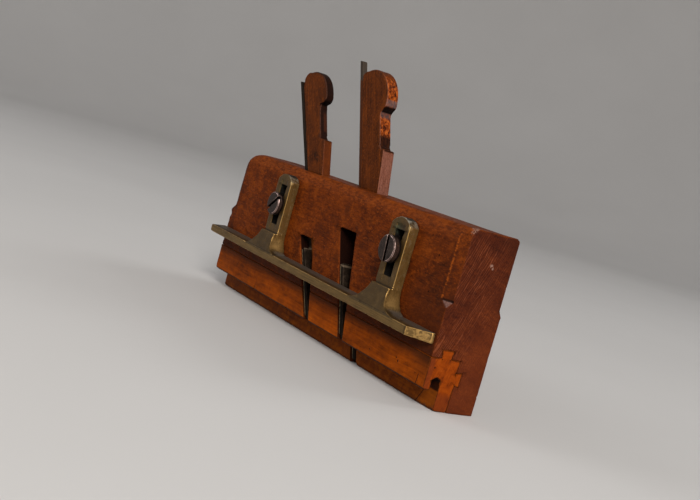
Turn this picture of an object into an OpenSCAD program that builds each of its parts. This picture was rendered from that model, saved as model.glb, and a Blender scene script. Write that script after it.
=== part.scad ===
// Wooden moulding plane with two irons, a boxed sole and a sliding brass
// depth stop. X runs along the stock towards the toe, Z is up, and -Y is the
// side with the escapements and the stop. The origin is on the sole.

/* [Stock] */
// Length of the stock, heel to toe
stock_l = 241.3; // [230:0.1:255]
// Width of the stock
stock_w = 35; // [33:0.1:40]
// Height of the stock from the sole of the fence to the top
stock_h = 90; // [88:0.1:96]
// Height of each long chamfer along the top edges
top_cham_z = 6.2; // [3:0.1:9]
// Width of the chamfers across the stock
cham_y = 2.5; // [1:0.1:4]
// Length of the end chamfers along the stock
end_cham_x = 5; // [3:0.1:9]
// Width of the end chamfers across the stock
end_cham_y = 3.5; // [2:0.1:5]
// Height at which the end chamfers turn into their stop cuts
end_cham_z = 53.9; // [45:0.1:60]
// Height of the stop cut below each end chamfer
stop_cut = 3.9; // [2:0.1:8]
// Size of the far side's end chamfers against the near side's
far_cham = 0.66; // [0.5:0.01:1]
// Radius of the rounded heel top corner
heel_r = 15.5; // [5:0.5:20]

/* [Sole] */
// Height of the land above the bottom of the fence
land_z = 10.3; // [9:0.1:12]
// Inner face of the fence, from the middle of the stock
fence_y = -8; // [-9:0.1:-7]
// Diameter of the half-round groove
bead_d = 5; // [4.4:0.1:5.6]
// Height of the centre of the groove
bead_z = 14; // [13:0.1:15]
// Top of the boxing on the side face
boxing_z = 26.3; // [25:0.1:28]
// Bevel along the inner bottom arris of the fence
arris = 1; // [0.5:0.1:1.5]

/* [Front iron and wedge] */
// Bed angle of the front iron in degrees
f_bed = 63.5; // [62:0.1:65]
// Where the front bed line meets the height of 90 mm
f_bed_x = 0.4; // [-1:0.1:2]
// Bottom height of the front iron's shoulder
f_shoulder_z = 47.6; // [40:0.1:56]
// Height of the top of the front tang
f_tang_z = 159.6; // [150:0.1:165]
// Thickness of the front wedge
f_wedge_t = 7.5; // [6:0.1:8]
// Near face of the front wedge
f_wedge_y = -6; // [-6.5:0.1:-5.5]

/* [Rear iron and wedge] */
// Bed angle of the rear iron in degrees
r_bed = 56; // [54:0.1:57]
// Where the rear bed line meets the height of 90 mm
r_bed_x = -51.9; // [-54:0.1:-51]
// Bottom height of the rear iron's shoulder
r_shoulder_z = 45.8; // [40:0.1:48]
// Height of the top of the rear tang
r_tang_z = 140.3; // [130:0.1:145]
// Thickness of the rear wedge
r_wedge_t = 5.5; // [4:0.1:6]
// Near face of the rear wedge
r_wedge_y = -11.9; // [-12.4:0.1:-11.5]

/* [Irons] */
// Thickness of both irons
iron_t = 3; // [2.5:0.1:3.2]
// Grinding angle of the cutting edges in degrees
grind = 30; // [25:1:35]

/* [Depth stop] */
// Underside of the shelf above the bottom of the fence, at mid length
shelf_z = 32.75; // [30:0.05:36]
// Thickness of the shelf against the stock
shelf_t = 5.3; // [4:0.1:6]
// Thickness of the shelf at its outer edge
shelf_edge = 4.4; // [3.5:0.1:5.5]
// Slight droop of the shelf towards the toe, in degrees
shelf_tilt = 0.27; // [0:0.01:0.5]
// Width of the shelf out from the stock
shelf_w = 10; // [8:0.1:12]
// Thickness of the legs
leg_t = 5.8; // [4:0.1:6]
// Width of the legs
leg_w = 16.5; // [14:0.1:18]
// Top of the legs
leg_top_z = 84.4; // [84:0.1:88]
// Middle of the toe leg along the stock
leg_front_x = 75.65; // [70:0.05:80]
// Middle of the heel leg along the stock
leg_rear_x = -50.65; // [-56:0.05:-48]
// Width of the slots
slot_w = 7; // [6.6:0.1:8]
// Bottom of the slots
slot_z0 = 53.8; // [52:0.1:55]
// Top of the slots
slot_z1 = 77.7; // [76:0.1:79]

/* [Screws] */
// Diameter of the front screw's head
head_front_d = 14.2; // [12:0.1:15]
// Diameter of the rear screw's head
head_rear_d = 13.6; // [12:0.1:15]
// Height of the front screw's head
head_front_h = 4.6; // [3:0.1:5]
// Height of the rear screw's head
head_rear_h = 4.1; // [3:0.1:5]
// Diameter of the screw shanks
shank_d = 5.6; // [5:0.1:6]
// Axis of the front screw: along the stock
screw_front_x = 75.2; // [75:0.1:76.2]
// Axis of the front screw: height
screw_front_z = 67.3; // [65:0.1:68]
// Axis of the rear screw: along the stock
screw_rear_x = -50.7; // [-51.2:0.1:-50.1]
// Axis of the rear screw: height
screw_rear_z = 65.8; // [65:0.1:67]
// Diameter of the threaded bushes in the stock
nut_d = 10; // [9:0.1:12]
// Length of the threaded bushes
nut_l = 12; // [8:0.5:14]

/* [Hidden] */
$fn = 64;
eps = 0.01;
hl = stock_l / 2;
hw = stock_w / 2;
bead_r = bead_d / 2;
bead_y = fence_y - bead_r;
// horizontal run of a line per mm of height
f_cot = cos(f_bed) / sin(f_bed);
r_cot = cos(r_bed) / sin(r_bed);
// bed lines and the horizontal thickness of an iron on them
function f_bx(z) = f_bed_x + (90 - z) * f_cot;
function r_bx(z) = r_bed_x + (90 - z) * r_cot;
f_th = iron_t / sin(f_bed);
r_th = iron_t / sin(r_bed);
// front walls of the escapements on the side face
function f_ex(z) = 29.2 + (67 - z) * 0.2708;
function r_ex(z) = -11.2 + (53.3 - z) * 0.414;
f_roof = 66.8;
r_roof = 53.9;
// front faces of the wedge stems
function f_wx(z) = 21.7 + (90 - z) * 0.2456;
function r_wx(z) = -30.2 + (90 - z) * 0.4175;
fit = 0.12;        // room round the wedges in their mortises
side_gap = 0.1;    // room beside the irons
seat = 0.04;       // room between iron, bed and wedge
slot_x = 4;        // length of the iron slots along the stock
f_blade_y1 = -2;   // far side of the front blade
r_blade_y1 = -8.9; // far side of the rear blade
blade_y0 = -hw + 0.8;

function arc(c, r, a0, a1, n) =
    [for (i = [0:n]) [c[0] + r * cos(a0 + (a1 - a0) * i / n), c[1] + r * sin(a0 + (a1 - a0) * i / n)]];

// a Y-Z outline drawn out along X
module along_x(x0, x1) translate([x0, 0, 0]) rotate([90, 0, 90]) linear_extrude(x1 - x0) children();
// an X-Z outline drawn out along Y
module along_y(y0, y1) translate([0, y1, 0]) rotate([90, 0, 0]) linear_extrude(y1 - y0) children();
// the boxing's outline in Y-Z, with its two dovetails, solid down to the sole
module boxing_outline() polygon([
    [-hw, -1], [-hw, boxing_z], [-10.8, boxing_z], [-12, 30.7], [-4.3, 30.7], [-5.2, boxing_z],
    [0.7, boxing_z], [0.3, 19.9], [0, 19.8], [3.9, 20.8], [3.7, 12.9], [1, 14.3], [0.8, 12], [0.8, -1]]);
// what the sole profile leaves open: rebate, groove and fence arris
module sole_open() {
    polygon([[-hw - 5, -2], [-hw - 5, land_z + 0.7], [-hw, land_z + 0.7], [-hw + 0.7, land_z],
             [bead_y - bead_r, land_z], [bead_y - bead_r, bead_z], [fence_y, bead_z],
             [fence_y, arris], [fence_y + arris, 0], [fence_y + arris, -2]]);
    translate([bead_y, bead_z]) circle(bead_r);
}
// one end chamfer with its stop cut, at the corner +X, -Y
module end_chamfer(k = 1) {
    a = atan2(end_cham_y, end_cham_x);
    d = k * end_cham_x * sin(a);
    translate([hl, -hw, 0]) rotate([0, 0, a]) translate([0, d, 0])
        along_x(-12, 12) polygon([[0, end_cham_z], [0, 120], [-20, 120],
                                  [-20, end_cham_z - 20 * stop_cut / d]]);
}
module end_chamfers() {
    end_chamfer();
    mirror([1, 0, 0]) end_chamfer();
    mirror([0, 1, 0]) end_chamfer(far_cham);
    mirror([1, 0, 0]) mirror([0, 1, 0]) end_chamfer(far_cham);
}
// puts an outline in (across, up the slope) on a bed, with the thickness t
module on_bed(x90, angle, lift, t)
    translate([x90 + 90 * cos(angle) / sin(angle), 0, 0]) rotate([0, angle - 90, 0])
        translate([lift, 0, 0]) rotate([90, 0, 90]) linear_extrude(t) children();
// the slot over one whole bed: the blade's part up to the escapement's roof
// and the tang's part right through the top
module bed_slot(x90, angle, roof, y_near, y_far, z_low, y_blade, z_sole) difference() {
    k = sin(angle);
    on_bed(x90, angle, 0, slot_x * k)
        polygon([[-hw - 5, z_sole / k], [-hw - 5, 110 / k], [y_far, 110 / k], [y_far, z_low / k],
                 [y_blade, z_low / k], [y_blade, z_sole / k]]);
    translate([-200, -60, roof]) cube([400, 60 + y_near, 100]);
}
// room for the front iron and its wedge
module front_mortise() {
    y0 = f_wedge_y - fit;
    y1 = f_wedge_y + f_wedge_t + fit;
    bed_slot(f_bed_x, f_bed, f_roof, y0 - 0.1, y1 + 0.1, 26, f_blade_y1 + side_gap, -4);
    along_y(y0, y1)
        polygon([[f_bx(28) + 1.5, 28], [f_bx(100) + 1.5, 100], [f_wx(100) + fit, 100], [f_wx(28) + fit, 28]]);
    along_y(-hw - 5, y0 + 0.5)
        polygon([[f_bx(-2) + 1.5, -2], [f_bx(f_roof) + 1.5, f_roof], [f_ex(f_roof), f_roof],
                 [f_ex(land_z), land_z], [f_ex(land_z) + (land_z + 2) * f_cot, -2]]);
    // the fence is cut away a little further behind the iron
    along_y(fence_y - 1, fence_y + 3)
        polygon([[f_bx(-2) - 1.5, -2], [f_bx(11) - 1.5, 11], [f_bx(11) + 1, 11], [f_bx(-2) + 1, -2]]);
}
// room for the rear iron and its wedge
module rear_mortise() {
    y0 = r_wedge_y - fit;
    y1 = r_wedge_y + r_wedge_t + fit;
    bed_slot(r_bed_x, r_bed, r_roof, y0 - 0.1, y1 + 0.1, 28, r_blade_y1 + side_gap, 6);
    along_y(y0, y1)
        polygon([[r_bx(30) + 1.5, 30], [r_bx(100) + 1.5, 100], [r_wx(100) + fit, 100], [r_wx(30) + fit, 30]]);
    along_y(-hw - 5, y0 + 0.5)
        polygon([[r_bx(4) + 1.5, 4], [r_bx(r_roof) + 1.5, r_roof], [r_ex(r_roof), r_roof], [r_ex(4), 4]]);
}
module screw_hole(x, z, d, y0, y1) translate([x, y1, z]) rotate([90, 0, 0]) cylinder(d = d, h = y1 - y0);

module stock() color([0.42, 0.16, 0.07]) difference() {
    intersection() {
        along_x(-hl, hl) polygon([[-hw, 0], [hw, 0], [hw, stock_h - top_cham_z], [hw - cham_y, stock_h],
                                  [-hw + cham_y, stock_h], [-hw, stock_h - top_cham_z]]);
        along_y(-hw - 1, hw + 1) union() {
            translate([-hl, 0]) square([stock_l, stock_h - heel_r]);
            translate([-hl + heel_r, 0]) square([stock_l - heel_r, stock_h]);
            translate([-hl + heel_r, stock_h - heel_r]) circle(heel_r);
        }
    }
    along_x(-hl - 1, hl + 1) boxing_outline();
    end_chamfers();
    front_mortise();
    rear_mortise();
    screw_hole(screw_front_x, screw_front_z, nut_d, -hw - 1, -hw + nut_l);
    screw_hole(screw_rear_x, screw_rear_z, nut_d, -hw - 1, -hw + nut_l);
}

module boxing() color([0.72, 0.36, 0.08]) difference() {
    intersection() {
        along_x(-hl, hl) boxing_outline();
        translate([-hl, -hw, 0]) cube([stock_l, stock_w, 60]);
    }
    along_x(-hl - 1, hl + 1) sole_open();
    front_mortise();
    rear_mortise();
}

// the ground bevel behind an edge that lies at height z on the front face
module grinding(x90, angle, z, y0, y1) {
    s = (z - (iron_t + seat) * cos(angle)) / sin(angle);
    run = iron_t / tan(grind);
    translate([x90 + 90 * cos(angle) / sin(angle), 0, 0]) rotate([0, angle - 90, 0])
        along_y(y0, y1) polygon([[iron_t + seat, s], [seat - 0.2, s + run * (1 + 0.2 / iron_t)],
                                 [seat - 0.2, s - 12], [iron_t + seat + 1, s - 12], [iron_t + seat + 1, s]]);
}

module front_iron() color([0.30, 0.28, 0.25]) difference() {
    k = sin(f_bed);
    on_bed(f_bed_x, f_bed, seat, iron_t)
        polygon([[blade_y0, 0], [blade_y0, f_shoulder_z / k], [-6.4, f_shoulder_z / k], [-5.4, (f_shoulder_z + 1.6) / k],
                 [-5.4, 200], [-2.3, 200], [f_blade_y1, 60], [f_blade_y1, 0]]);
    translate([-80, -30, f_tang_z]) cube([100, 60, 60]);
    // the bead's hollow edge, the land edge beside it and the blunt end in the fence
    along_x(20, 70) union() {
        translate([bead_y, bead_z]) circle(bead_r - 0.1);
        translate([bead_y - bead_r + 0.1, 0]) square([bead_d - 0.1, bead_z]);
    }
    translate([20, -30, -10]) cube([60, 30, 12.2]);
    grinding(f_bed_x, f_bed, land_z - 0.1, -30, bead_y);
}

module rear_iron() color([0.30, 0.28, 0.25]) difference() {
    k = sin(r_bed);
    on_bed(r_bed_x, r_bed, seat, iron_t)
        polygon([[blade_y0, 0], [blade_y0, r_shoulder_z / k], [-12.6, r_shoulder_z / k], [-12, (r_shoulder_z + 1.2) / k],
                 [-12, 200], [-9, 200], [r_blade_y1, 60], [r_blade_y1, 0]]);
    translate([-110, -30, r_tang_z]) cube([60, 60, 60]);
    // cut back over the groove, so that it trims the land only
    translate([-20, bead_y - bead_r - 0.1, 0]) cube([50, 10, 17.5]);
    grinding(r_bed_x, r_bed, land_z - 0.2, -30, 0);
}

module front_wedge() color([0.36, 0.13, 0.05])
    along_y(f_wedge_y, f_wedge_y + f_wedge_t) polygon(concat(
        [[f_wx(31), 31], [f_wx(112.6), 112.6]],
        arc([f_wx(112.6) - 1.3, 112.6], 1.3, 0, 90, 4),
        arc([13.4, 116.4], 2.5, 270, 208, 5),
        [[3.2, 131.4]],
        arc([5.2, 132.6], 2.2, 208, 150, 4),
        arc([1.9, 138.6], 4.2, -52, 12, 6),
        arc([-13.4, 136.6], 19.5, 12, 113, 16),
        arc([f_bx(151) + f_th + 5.3, 149], 5.4, 113, 155, 4),
        [[f_bx(147) + f_th + 2 * seat, 147], [f_bx(32) + f_th + 2 * seat, 32]]));

module rear_wedge() color([0.36, 0.13, 0.05])
    along_y(r_wedge_y, r_wedge_y + r_wedge_t) polygon(concat(
        [[r_wx(33), 33], [r_wx(108.6), 108.6]],
        arc([r_wx(108.6) - 1.3, 108.6], 1.3, 0, 90, 4),
        arc([-42.2, 112.4], 2.5, 270, 215, 5),
        [[-53.2, 126.6]],
        arc([-51.2, 128.2], 2.4, 215, 120, 6),
        arc([-54.1, 134], 4.2, -55, 14, 7),
        arc([-68.3, 128.6], 19.4, 21, 108, 14),
        arc([-75.7, 141.2], 5.8, 108, 176, 6),
        [[r_bx(137) + r_th + 2 * seat, 137], [r_bx(34) + r_th + 2 * seat, 34]]));

// one slotted leg with the web that flares into the shelf
module leg(x) {
    z0 = shelf_z + 1.5;
    z1 = 48.8;
    r = z1 - 36.7;    // the toe side's flare, which starts flush with the leg
    along_y(-hw - leg_t, -hw - 0.05) difference() {
        intersection() {
            translate([x - leg_w / 2, z1]) square([leg_w, leg_top_z - z1]);
            union() {
                translate([x, leg_top_z - 10.6]) circle(10.6);
                translate([x - 20, z1]) square([40, 26]);
            }
        }
        translate([x - slot_w / 2, slot_z0]) square([slot_w, slot_z1 - slot_z0]);
    }
    intersection() {
        along_y(-hw - shelf_w, -hw - 0.05) difference() {
            translate([x - 25.4, z0]) square([25.4 + leg_w / 2 + r, z1 - z0]);
            translate([x - 25.4, 53.7]) circle(17);
            translate([x + leg_w / 2 + r, z1]) circle(r);
        }
        along_x(x - 40, x + 40) polygon([[-hw + 1, z0 - 1], [-hw - shelf_w, z0 - 1], [-hw - shelf_w, 36.4],
            [-hw - 7.6, z1], [-hw - 7.6, z1 + 1], [-hw + 1, z1 + 1]]);
    }
}
module depth_stop() color([0.55, 0.42, 0.16]) union() {
    k = (shelf_t - shelf_edge) / shelf_w;
    intersection() {
        translate([0, 0, shelf_z]) rotate([0, shelf_tilt, 0])
            along_x(-hl - 5, hl + 5) polygon([[-hw - shelf_w - 1, 0], [-hw + 1, 0],
                [-hw + 1, shelf_t + k], [-hw - shelf_w - 1, shelf_edge - k]]);
        linear_extrude(60) polygon([[-hl - 1.6, -hw - 0.05], [-hl - 1.6, -hw - shelf_w], [hl - 12.1, -hw - shelf_w],
            [hl - 1.5, -hw - 1.6], [hl - 1.5, -hw - 0.05]]);
    }
    leg(leg_front_x);
    leg(leg_rear_x);
}

module stop_screw(x, z, turn, d, h) translate([x, -hw - leg_t - 0.05, z]) rotate([90, 0, 0]) rotate([0, 0, turn])
    union() {
        difference() {
            union() {
                cylinder(d1 = d - 0.8, d2 = d, h = 0.5);
                translate([0, 0, 0.5]) cylinder(d = d, h = h - 1);
                translate([0, 0, h - 0.5]) cylinder(d1 = d, d2 = d - 1, h = 0.5);
            }
            translate([-10, -1, h - 1.9]) cube([20, 2, 3]);
        }
        translate([0, 0, -15]) cylinder(d = shank_d, h = 15 + 0.2);
    }
module front_stop_screw() color([0.20, 0.17, 0.16]) stop_screw(screw_front_x, screw_front_z, 96, head_front_d, head_front_h);
module rear_stop_screw() color([0.20, 0.17, 0.16]) stop_screw(screw_rear_x, screw_rear_z, 40, head_rear_d, head_rear_h);

module screw_nut(x, z) difference() {
    screw_hole(x, z, nut_d, -hw + 0.4, -hw + nut_l);
    screw_hole(x, z, shank_d + 0.1, -hw - 1, -hw + nut_l + 1);
}
module front_screw_nut() color([0.25, 0.22, 0.2]) screw_nut(screw_front_x, screw_front_z);
module rear_screw_nut() color([0.25, 0.22, 0.2]) screw_nut(screw_rear_x, screw_rear_z);

stock();
boxing();
front_iron();
rear_iron();
front_wedge();
rear_wedge();
depth_stop();
front_stop_screw();
rear_stop_screw();
front_screw_nut();
rear_screw_nut();
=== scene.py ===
import bpy, bmesh, math
import numpy as np
from mathutils import Matrix, Vector, kdtree


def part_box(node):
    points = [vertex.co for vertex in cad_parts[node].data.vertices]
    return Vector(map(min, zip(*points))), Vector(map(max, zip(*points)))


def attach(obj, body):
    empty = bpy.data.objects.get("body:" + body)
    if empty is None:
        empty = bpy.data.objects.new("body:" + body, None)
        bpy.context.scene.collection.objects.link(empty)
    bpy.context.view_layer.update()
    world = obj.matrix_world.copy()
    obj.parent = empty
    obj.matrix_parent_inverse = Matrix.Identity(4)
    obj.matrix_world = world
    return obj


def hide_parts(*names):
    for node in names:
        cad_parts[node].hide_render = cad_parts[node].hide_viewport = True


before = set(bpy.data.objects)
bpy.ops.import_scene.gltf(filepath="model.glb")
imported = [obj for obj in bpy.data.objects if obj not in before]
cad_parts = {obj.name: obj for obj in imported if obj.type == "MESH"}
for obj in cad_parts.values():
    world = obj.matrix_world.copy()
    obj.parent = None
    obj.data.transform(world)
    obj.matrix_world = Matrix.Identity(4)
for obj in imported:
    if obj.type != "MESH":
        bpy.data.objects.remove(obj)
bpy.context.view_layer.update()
scene = bpy.context.scene

# ---------------------------------------------------------------- camera
R = Vector((0.50515697, 0.81936168, 0.27104035))
U = Vector((-0.22584118, -0.17761025, 0.95783629))
F = Vector((-0.8329539, 0.54506976, -0.09532455))
cam_data = bpy.data.cameras.new("cam")
cam = bpy.data.objects.new("cam", cam_data)
scene.collection.objects.link(cam)
cam.matrix_world = Matrix((
    (R.x, U.x, -F.x, 0.520466),
    (R.y, U.y, -F.y, -0.339447),
    (R.z, U.z, -F.z, 0.113396),
    (0, 0, 0, 1)))
cam_data.sensor_fit = "HORIZONTAL"
cam_data.sensor_width = 36.0
cam_data.lens = 1100.0 * 36.0 / 700.0
cam_data.clip_start = 0.01
scene.camera = cam


# ---------------------------------------------------------------- noise in code
def _hash(ix, iy, iz, seed):
    h = (ix * 374761393 + iy * 668265263 + iz * 2147483647 + seed * 1274126177) & 0xFFFFFFFF
    h = ((h ^ (h >> 13)) * 1274126177) & 0xFFFFFFFF
    h = h ^ (h >> 16)
    return (h & 0xFFFFFF) / float(0xFFFFFF)


def vnoise(p, freq, seed=0, octaves=1):
    """Smooth value noise from 0 to 1 at points p in mm, freq in 1/mm (a number or three)."""
    out = np.zeros(len(p)); amp = 1.0; tot = 0.0
    q = np.asarray(p, float) * np.asarray(freq, float)
    for o in range(octaves):
        f = np.floor(q).astype(np.int64); t = q - f; t = t * t * (3 - 2 * t)
        acc = np.zeros(len(p))
        for dx in (0, 1):
            wx = t[:, 0] if dx else 1 - t[:, 0]
            for dy in (0, 1):
                wy = t[:, 1] if dy else 1 - t[:, 1]
                for dz in (0, 1):
                    wz = t[:, 2] if dz else 1 - t[:, 2]
                    acc += wx * wy * wz * _hash(f[:, 0] + dx, f[:, 1] + dy, f[:, 2] + dz, seed + 17 * o)
        out += amp * acc; tot += amp; amp *= 0.5; q = q * 2.03 + 11.7
    return out / tot


def smooth01(x):
    x = np.clip(x, 0, 1)
    return x * x * (3 - 2 * x)


# ---------------------------------------------------------------- worn meshes from the CAD shapes
def cad_bmesh(node):
    bm = bmesh.new()
    bm.from_mesh(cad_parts[node].data)
    for v in bm.verts:
        v.co *= 1000.0
    bmesh.ops.remove_doubles(bm, verts=bm.verts, dist=0.002)
    bm.normal_update()
    return bm


def sharp_samples(bm, angle, step=0.3):
    """Points along the convex and the concave edges, with the two face normals and the direction."""
    conv = {0: [], 1: [], 2: []}
    conc = []
    for e in bm.edges:
        if len(e.link_faces) != 2:
            continue
        a = e.calc_face_angle_signed(0.0)
        if abs(a) < angle:
            continue
        p, q = e.verts[0].co, e.verts[1].co
        d = q - p
        n = max(1, int(math.ceil(d.length / step)))
        if d.length < 1e-6:
            continue
        t = d.normalized()
        if a > 0:
            n1, n2 = e.link_faces[0].normal, e.link_faces[1].normal
            g = 0 if abs(t.x) > 0.85 else (1 if abs(t.y) > 0.85 else 2)
            for i in range(n + 1):
                s = p + d * (i / n)
                conv[g].append((*s, *n1, *n2, *t))
        else:
            for i in range(n + 1):
                conc.append(tuple(p + d * (i / n)))
    return {g: np.array(v, float) for g, v in conv.items() if v}, np.array(conc, float).reshape(-1, 3)


def tree_of(points):
    kd = kdtree.KDTree(len(points))
    for i, p in enumerate(points):
        kd.insert(p, i)
    kd.balance()
    return kd


def nearest(co, kd):
    find = kd.find
    got = [find(p) for p in co.tolist()]
    return np.array([g[1] for g in got]), np.array([g[2] for g in got])


def fillet(co, ids, S, j, radius):
    """Rolls the edge nearest to each of these vertices over to a radius."""
    e, n1, n2, t = S[j, 0:3], S[j, 3:6], S[j, 6:9], S[j, 9:12]
    r = radius(e)[:, None]
    k = (n1 * n2).sum(1, keepdims=True)
    c = e - r * (n1 + n2) / np.maximum(1 + k, 0.25)
    v = co[ids] - c
    vt = t * (v * t).sum(1, keepdims=True)
    vp = v - vt
    d1 = (vp * n1).sum(1, keepdims=True); d2 = (vp * n2).sum(1, keepdims=True)
    det = np.maximum(1 - k * k, 1e-3)
    a = (d1 - k * d2) / det; b = (d2 - k * d1) / det
    L = np.linalg.norm(vp, axis=1, keepdims=True)
    hit = ((a > 0) & (b > 0) & (L > r))[:, 0]
    new = c + vt + vp * (r / np.maximum(L, 1e-6))
    co[ids[hit]] = new[hit]


def laplace(co, edges, weight, rounds):
    """Moves vertices towards their neighbours' mean, by weight."""
    n = len(co)
    deg = np.bincount(edges.ravel(), minlength=n).astype(float)
    deg[deg == 0] = 1
    for _ in range(rounds):
        m = np.zeros_like(co)
        for k in range(3):
            m[:, k] = np.bincount(edges[:, 0], co[edges[:, 1], k], n) + np.bincount(edges[:, 1], co[edges[:, 0], k], n)
        co = co + (m / deg[:, None] - co) * weight[:, None]
    return co


def mesh_arrays(me):
    co = np.empty(len(me.vertices) * 3); me.vertices.foreach_get("co", co)
    ed = np.empty(len(me.edges) * 2, np.int64); me.edges.foreach_get("vertices", ed)
    return co.reshape(-1, 3), ed.reshape(-1, 2)


def set_co(me, co):
    me.vertices.foreach_set("co", np.ascontiguousarray(co, dtype=np.float32).ravel())
    me.update()


def normals(me):
    n = np.empty(len(me.vertices) * 3); me.vertices.foreach_get("normal", n)
    return n.reshape(-1, 3)


def worn(name, node, body, slot, voxel, radius, dig=None, shape=None, soft=None, sharp=20, reach=3.0):
    """A finely meshed copy of a CAD node with rolled edges and worked-in wear. radius(points) gives the
    edge radius in mm, dig(points, normals, edge) the depth in mm taken off along the normal, shape(points)
    the moved points, and soft(points) the share by which an area is smoothed out, with its rounds."""
    bm = cad_bmesh(node)
    conv, conc = sharp_samples(bm, math.radians(sharp))
    src = bpy.data.meshes.new(name + "_src"); bm.to_mesh(src); bm.free()
    target = bpy.data.objects.new(name + "_target", src)
    work = bpy.data.objects.new(name + "_work", src.copy())
    scene.collection.objects.link(target); scene.collection.objects.link(work)
    mod = work.modifiers.new("remesh", "REMESH"); mod.mode = "VOXEL"; mod.voxel_size = voxel; mod.adaptivity = 0
    wrap = work.modifiers.new("wrap", "SHRINKWRAP"); wrap.target = target; wrap.wrap_method = "NEAREST_SURFACEPOINT"
    dg = bpy.context.evaluated_depsgraph_get()
    me = bpy.data.meshes.new_from_object(work.evaluated_get(dg), depsgraph=dg)
    bpy.data.objects.remove(work); bpy.data.objects.remove(target)
    co, ed = mesh_arrays(me)
    every = np.concatenate(list(conv.values()))
    _, dist = nearest(co, tree_of(every[:, 0:3]))
    nook = nearest(co, tree_of(conc))[1] if len(conc) else np.full(len(co), 50.0)
    near = np.nonzero(dist < reach)[0]
    for g, S in conv.items():
        j, dd = nearest(co[near], tree_of(S[:, 0:3]))
        ok = dd < reach
        fillet(co, near[ok], S, j[ok], radius)
    if shape is not None:
        co = shape(co)
    if soft is not None:
        for weight, rounds in soft(co):
            near = weight > 0.003
            pick = near[ed[:, 0]] | near[ed[:, 1]]
            co = laplace(co, ed[pick], weight, rounds)
    set_co(me, co)
    if dig is not None:
        nn = normals(me)
        depth = np.maximum(dig(co, nn, dist), 0)
        co = co - nn * depth[:, None]
    lo, hi = (np.array(v) * 1000 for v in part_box(node))
    co = np.clip(co, lo, hi)
    set_co(me, co)
    for key, val in (("edge", np.minimum(dist, 20)), ("nook", np.minimum(nook, 20))):
        at = me.attributes.new(key, "FLOAT", "POINT")
        at.data.foreach_set("value", val.astype(np.float32))
    me.transform(Matrix.Scale(0.001, 4))
    me.polygons.foreach_set("use_smooth", np.ones(len(me.polygons), bool))
    me.name = name
    ob = bpy.data.objects.new(name, me)
    scene.collection.objects.link(ob)
    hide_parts(node)
    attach(ob, body)
    print(name, len(ob.data.vertices), "vertices")
    return ob


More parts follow.
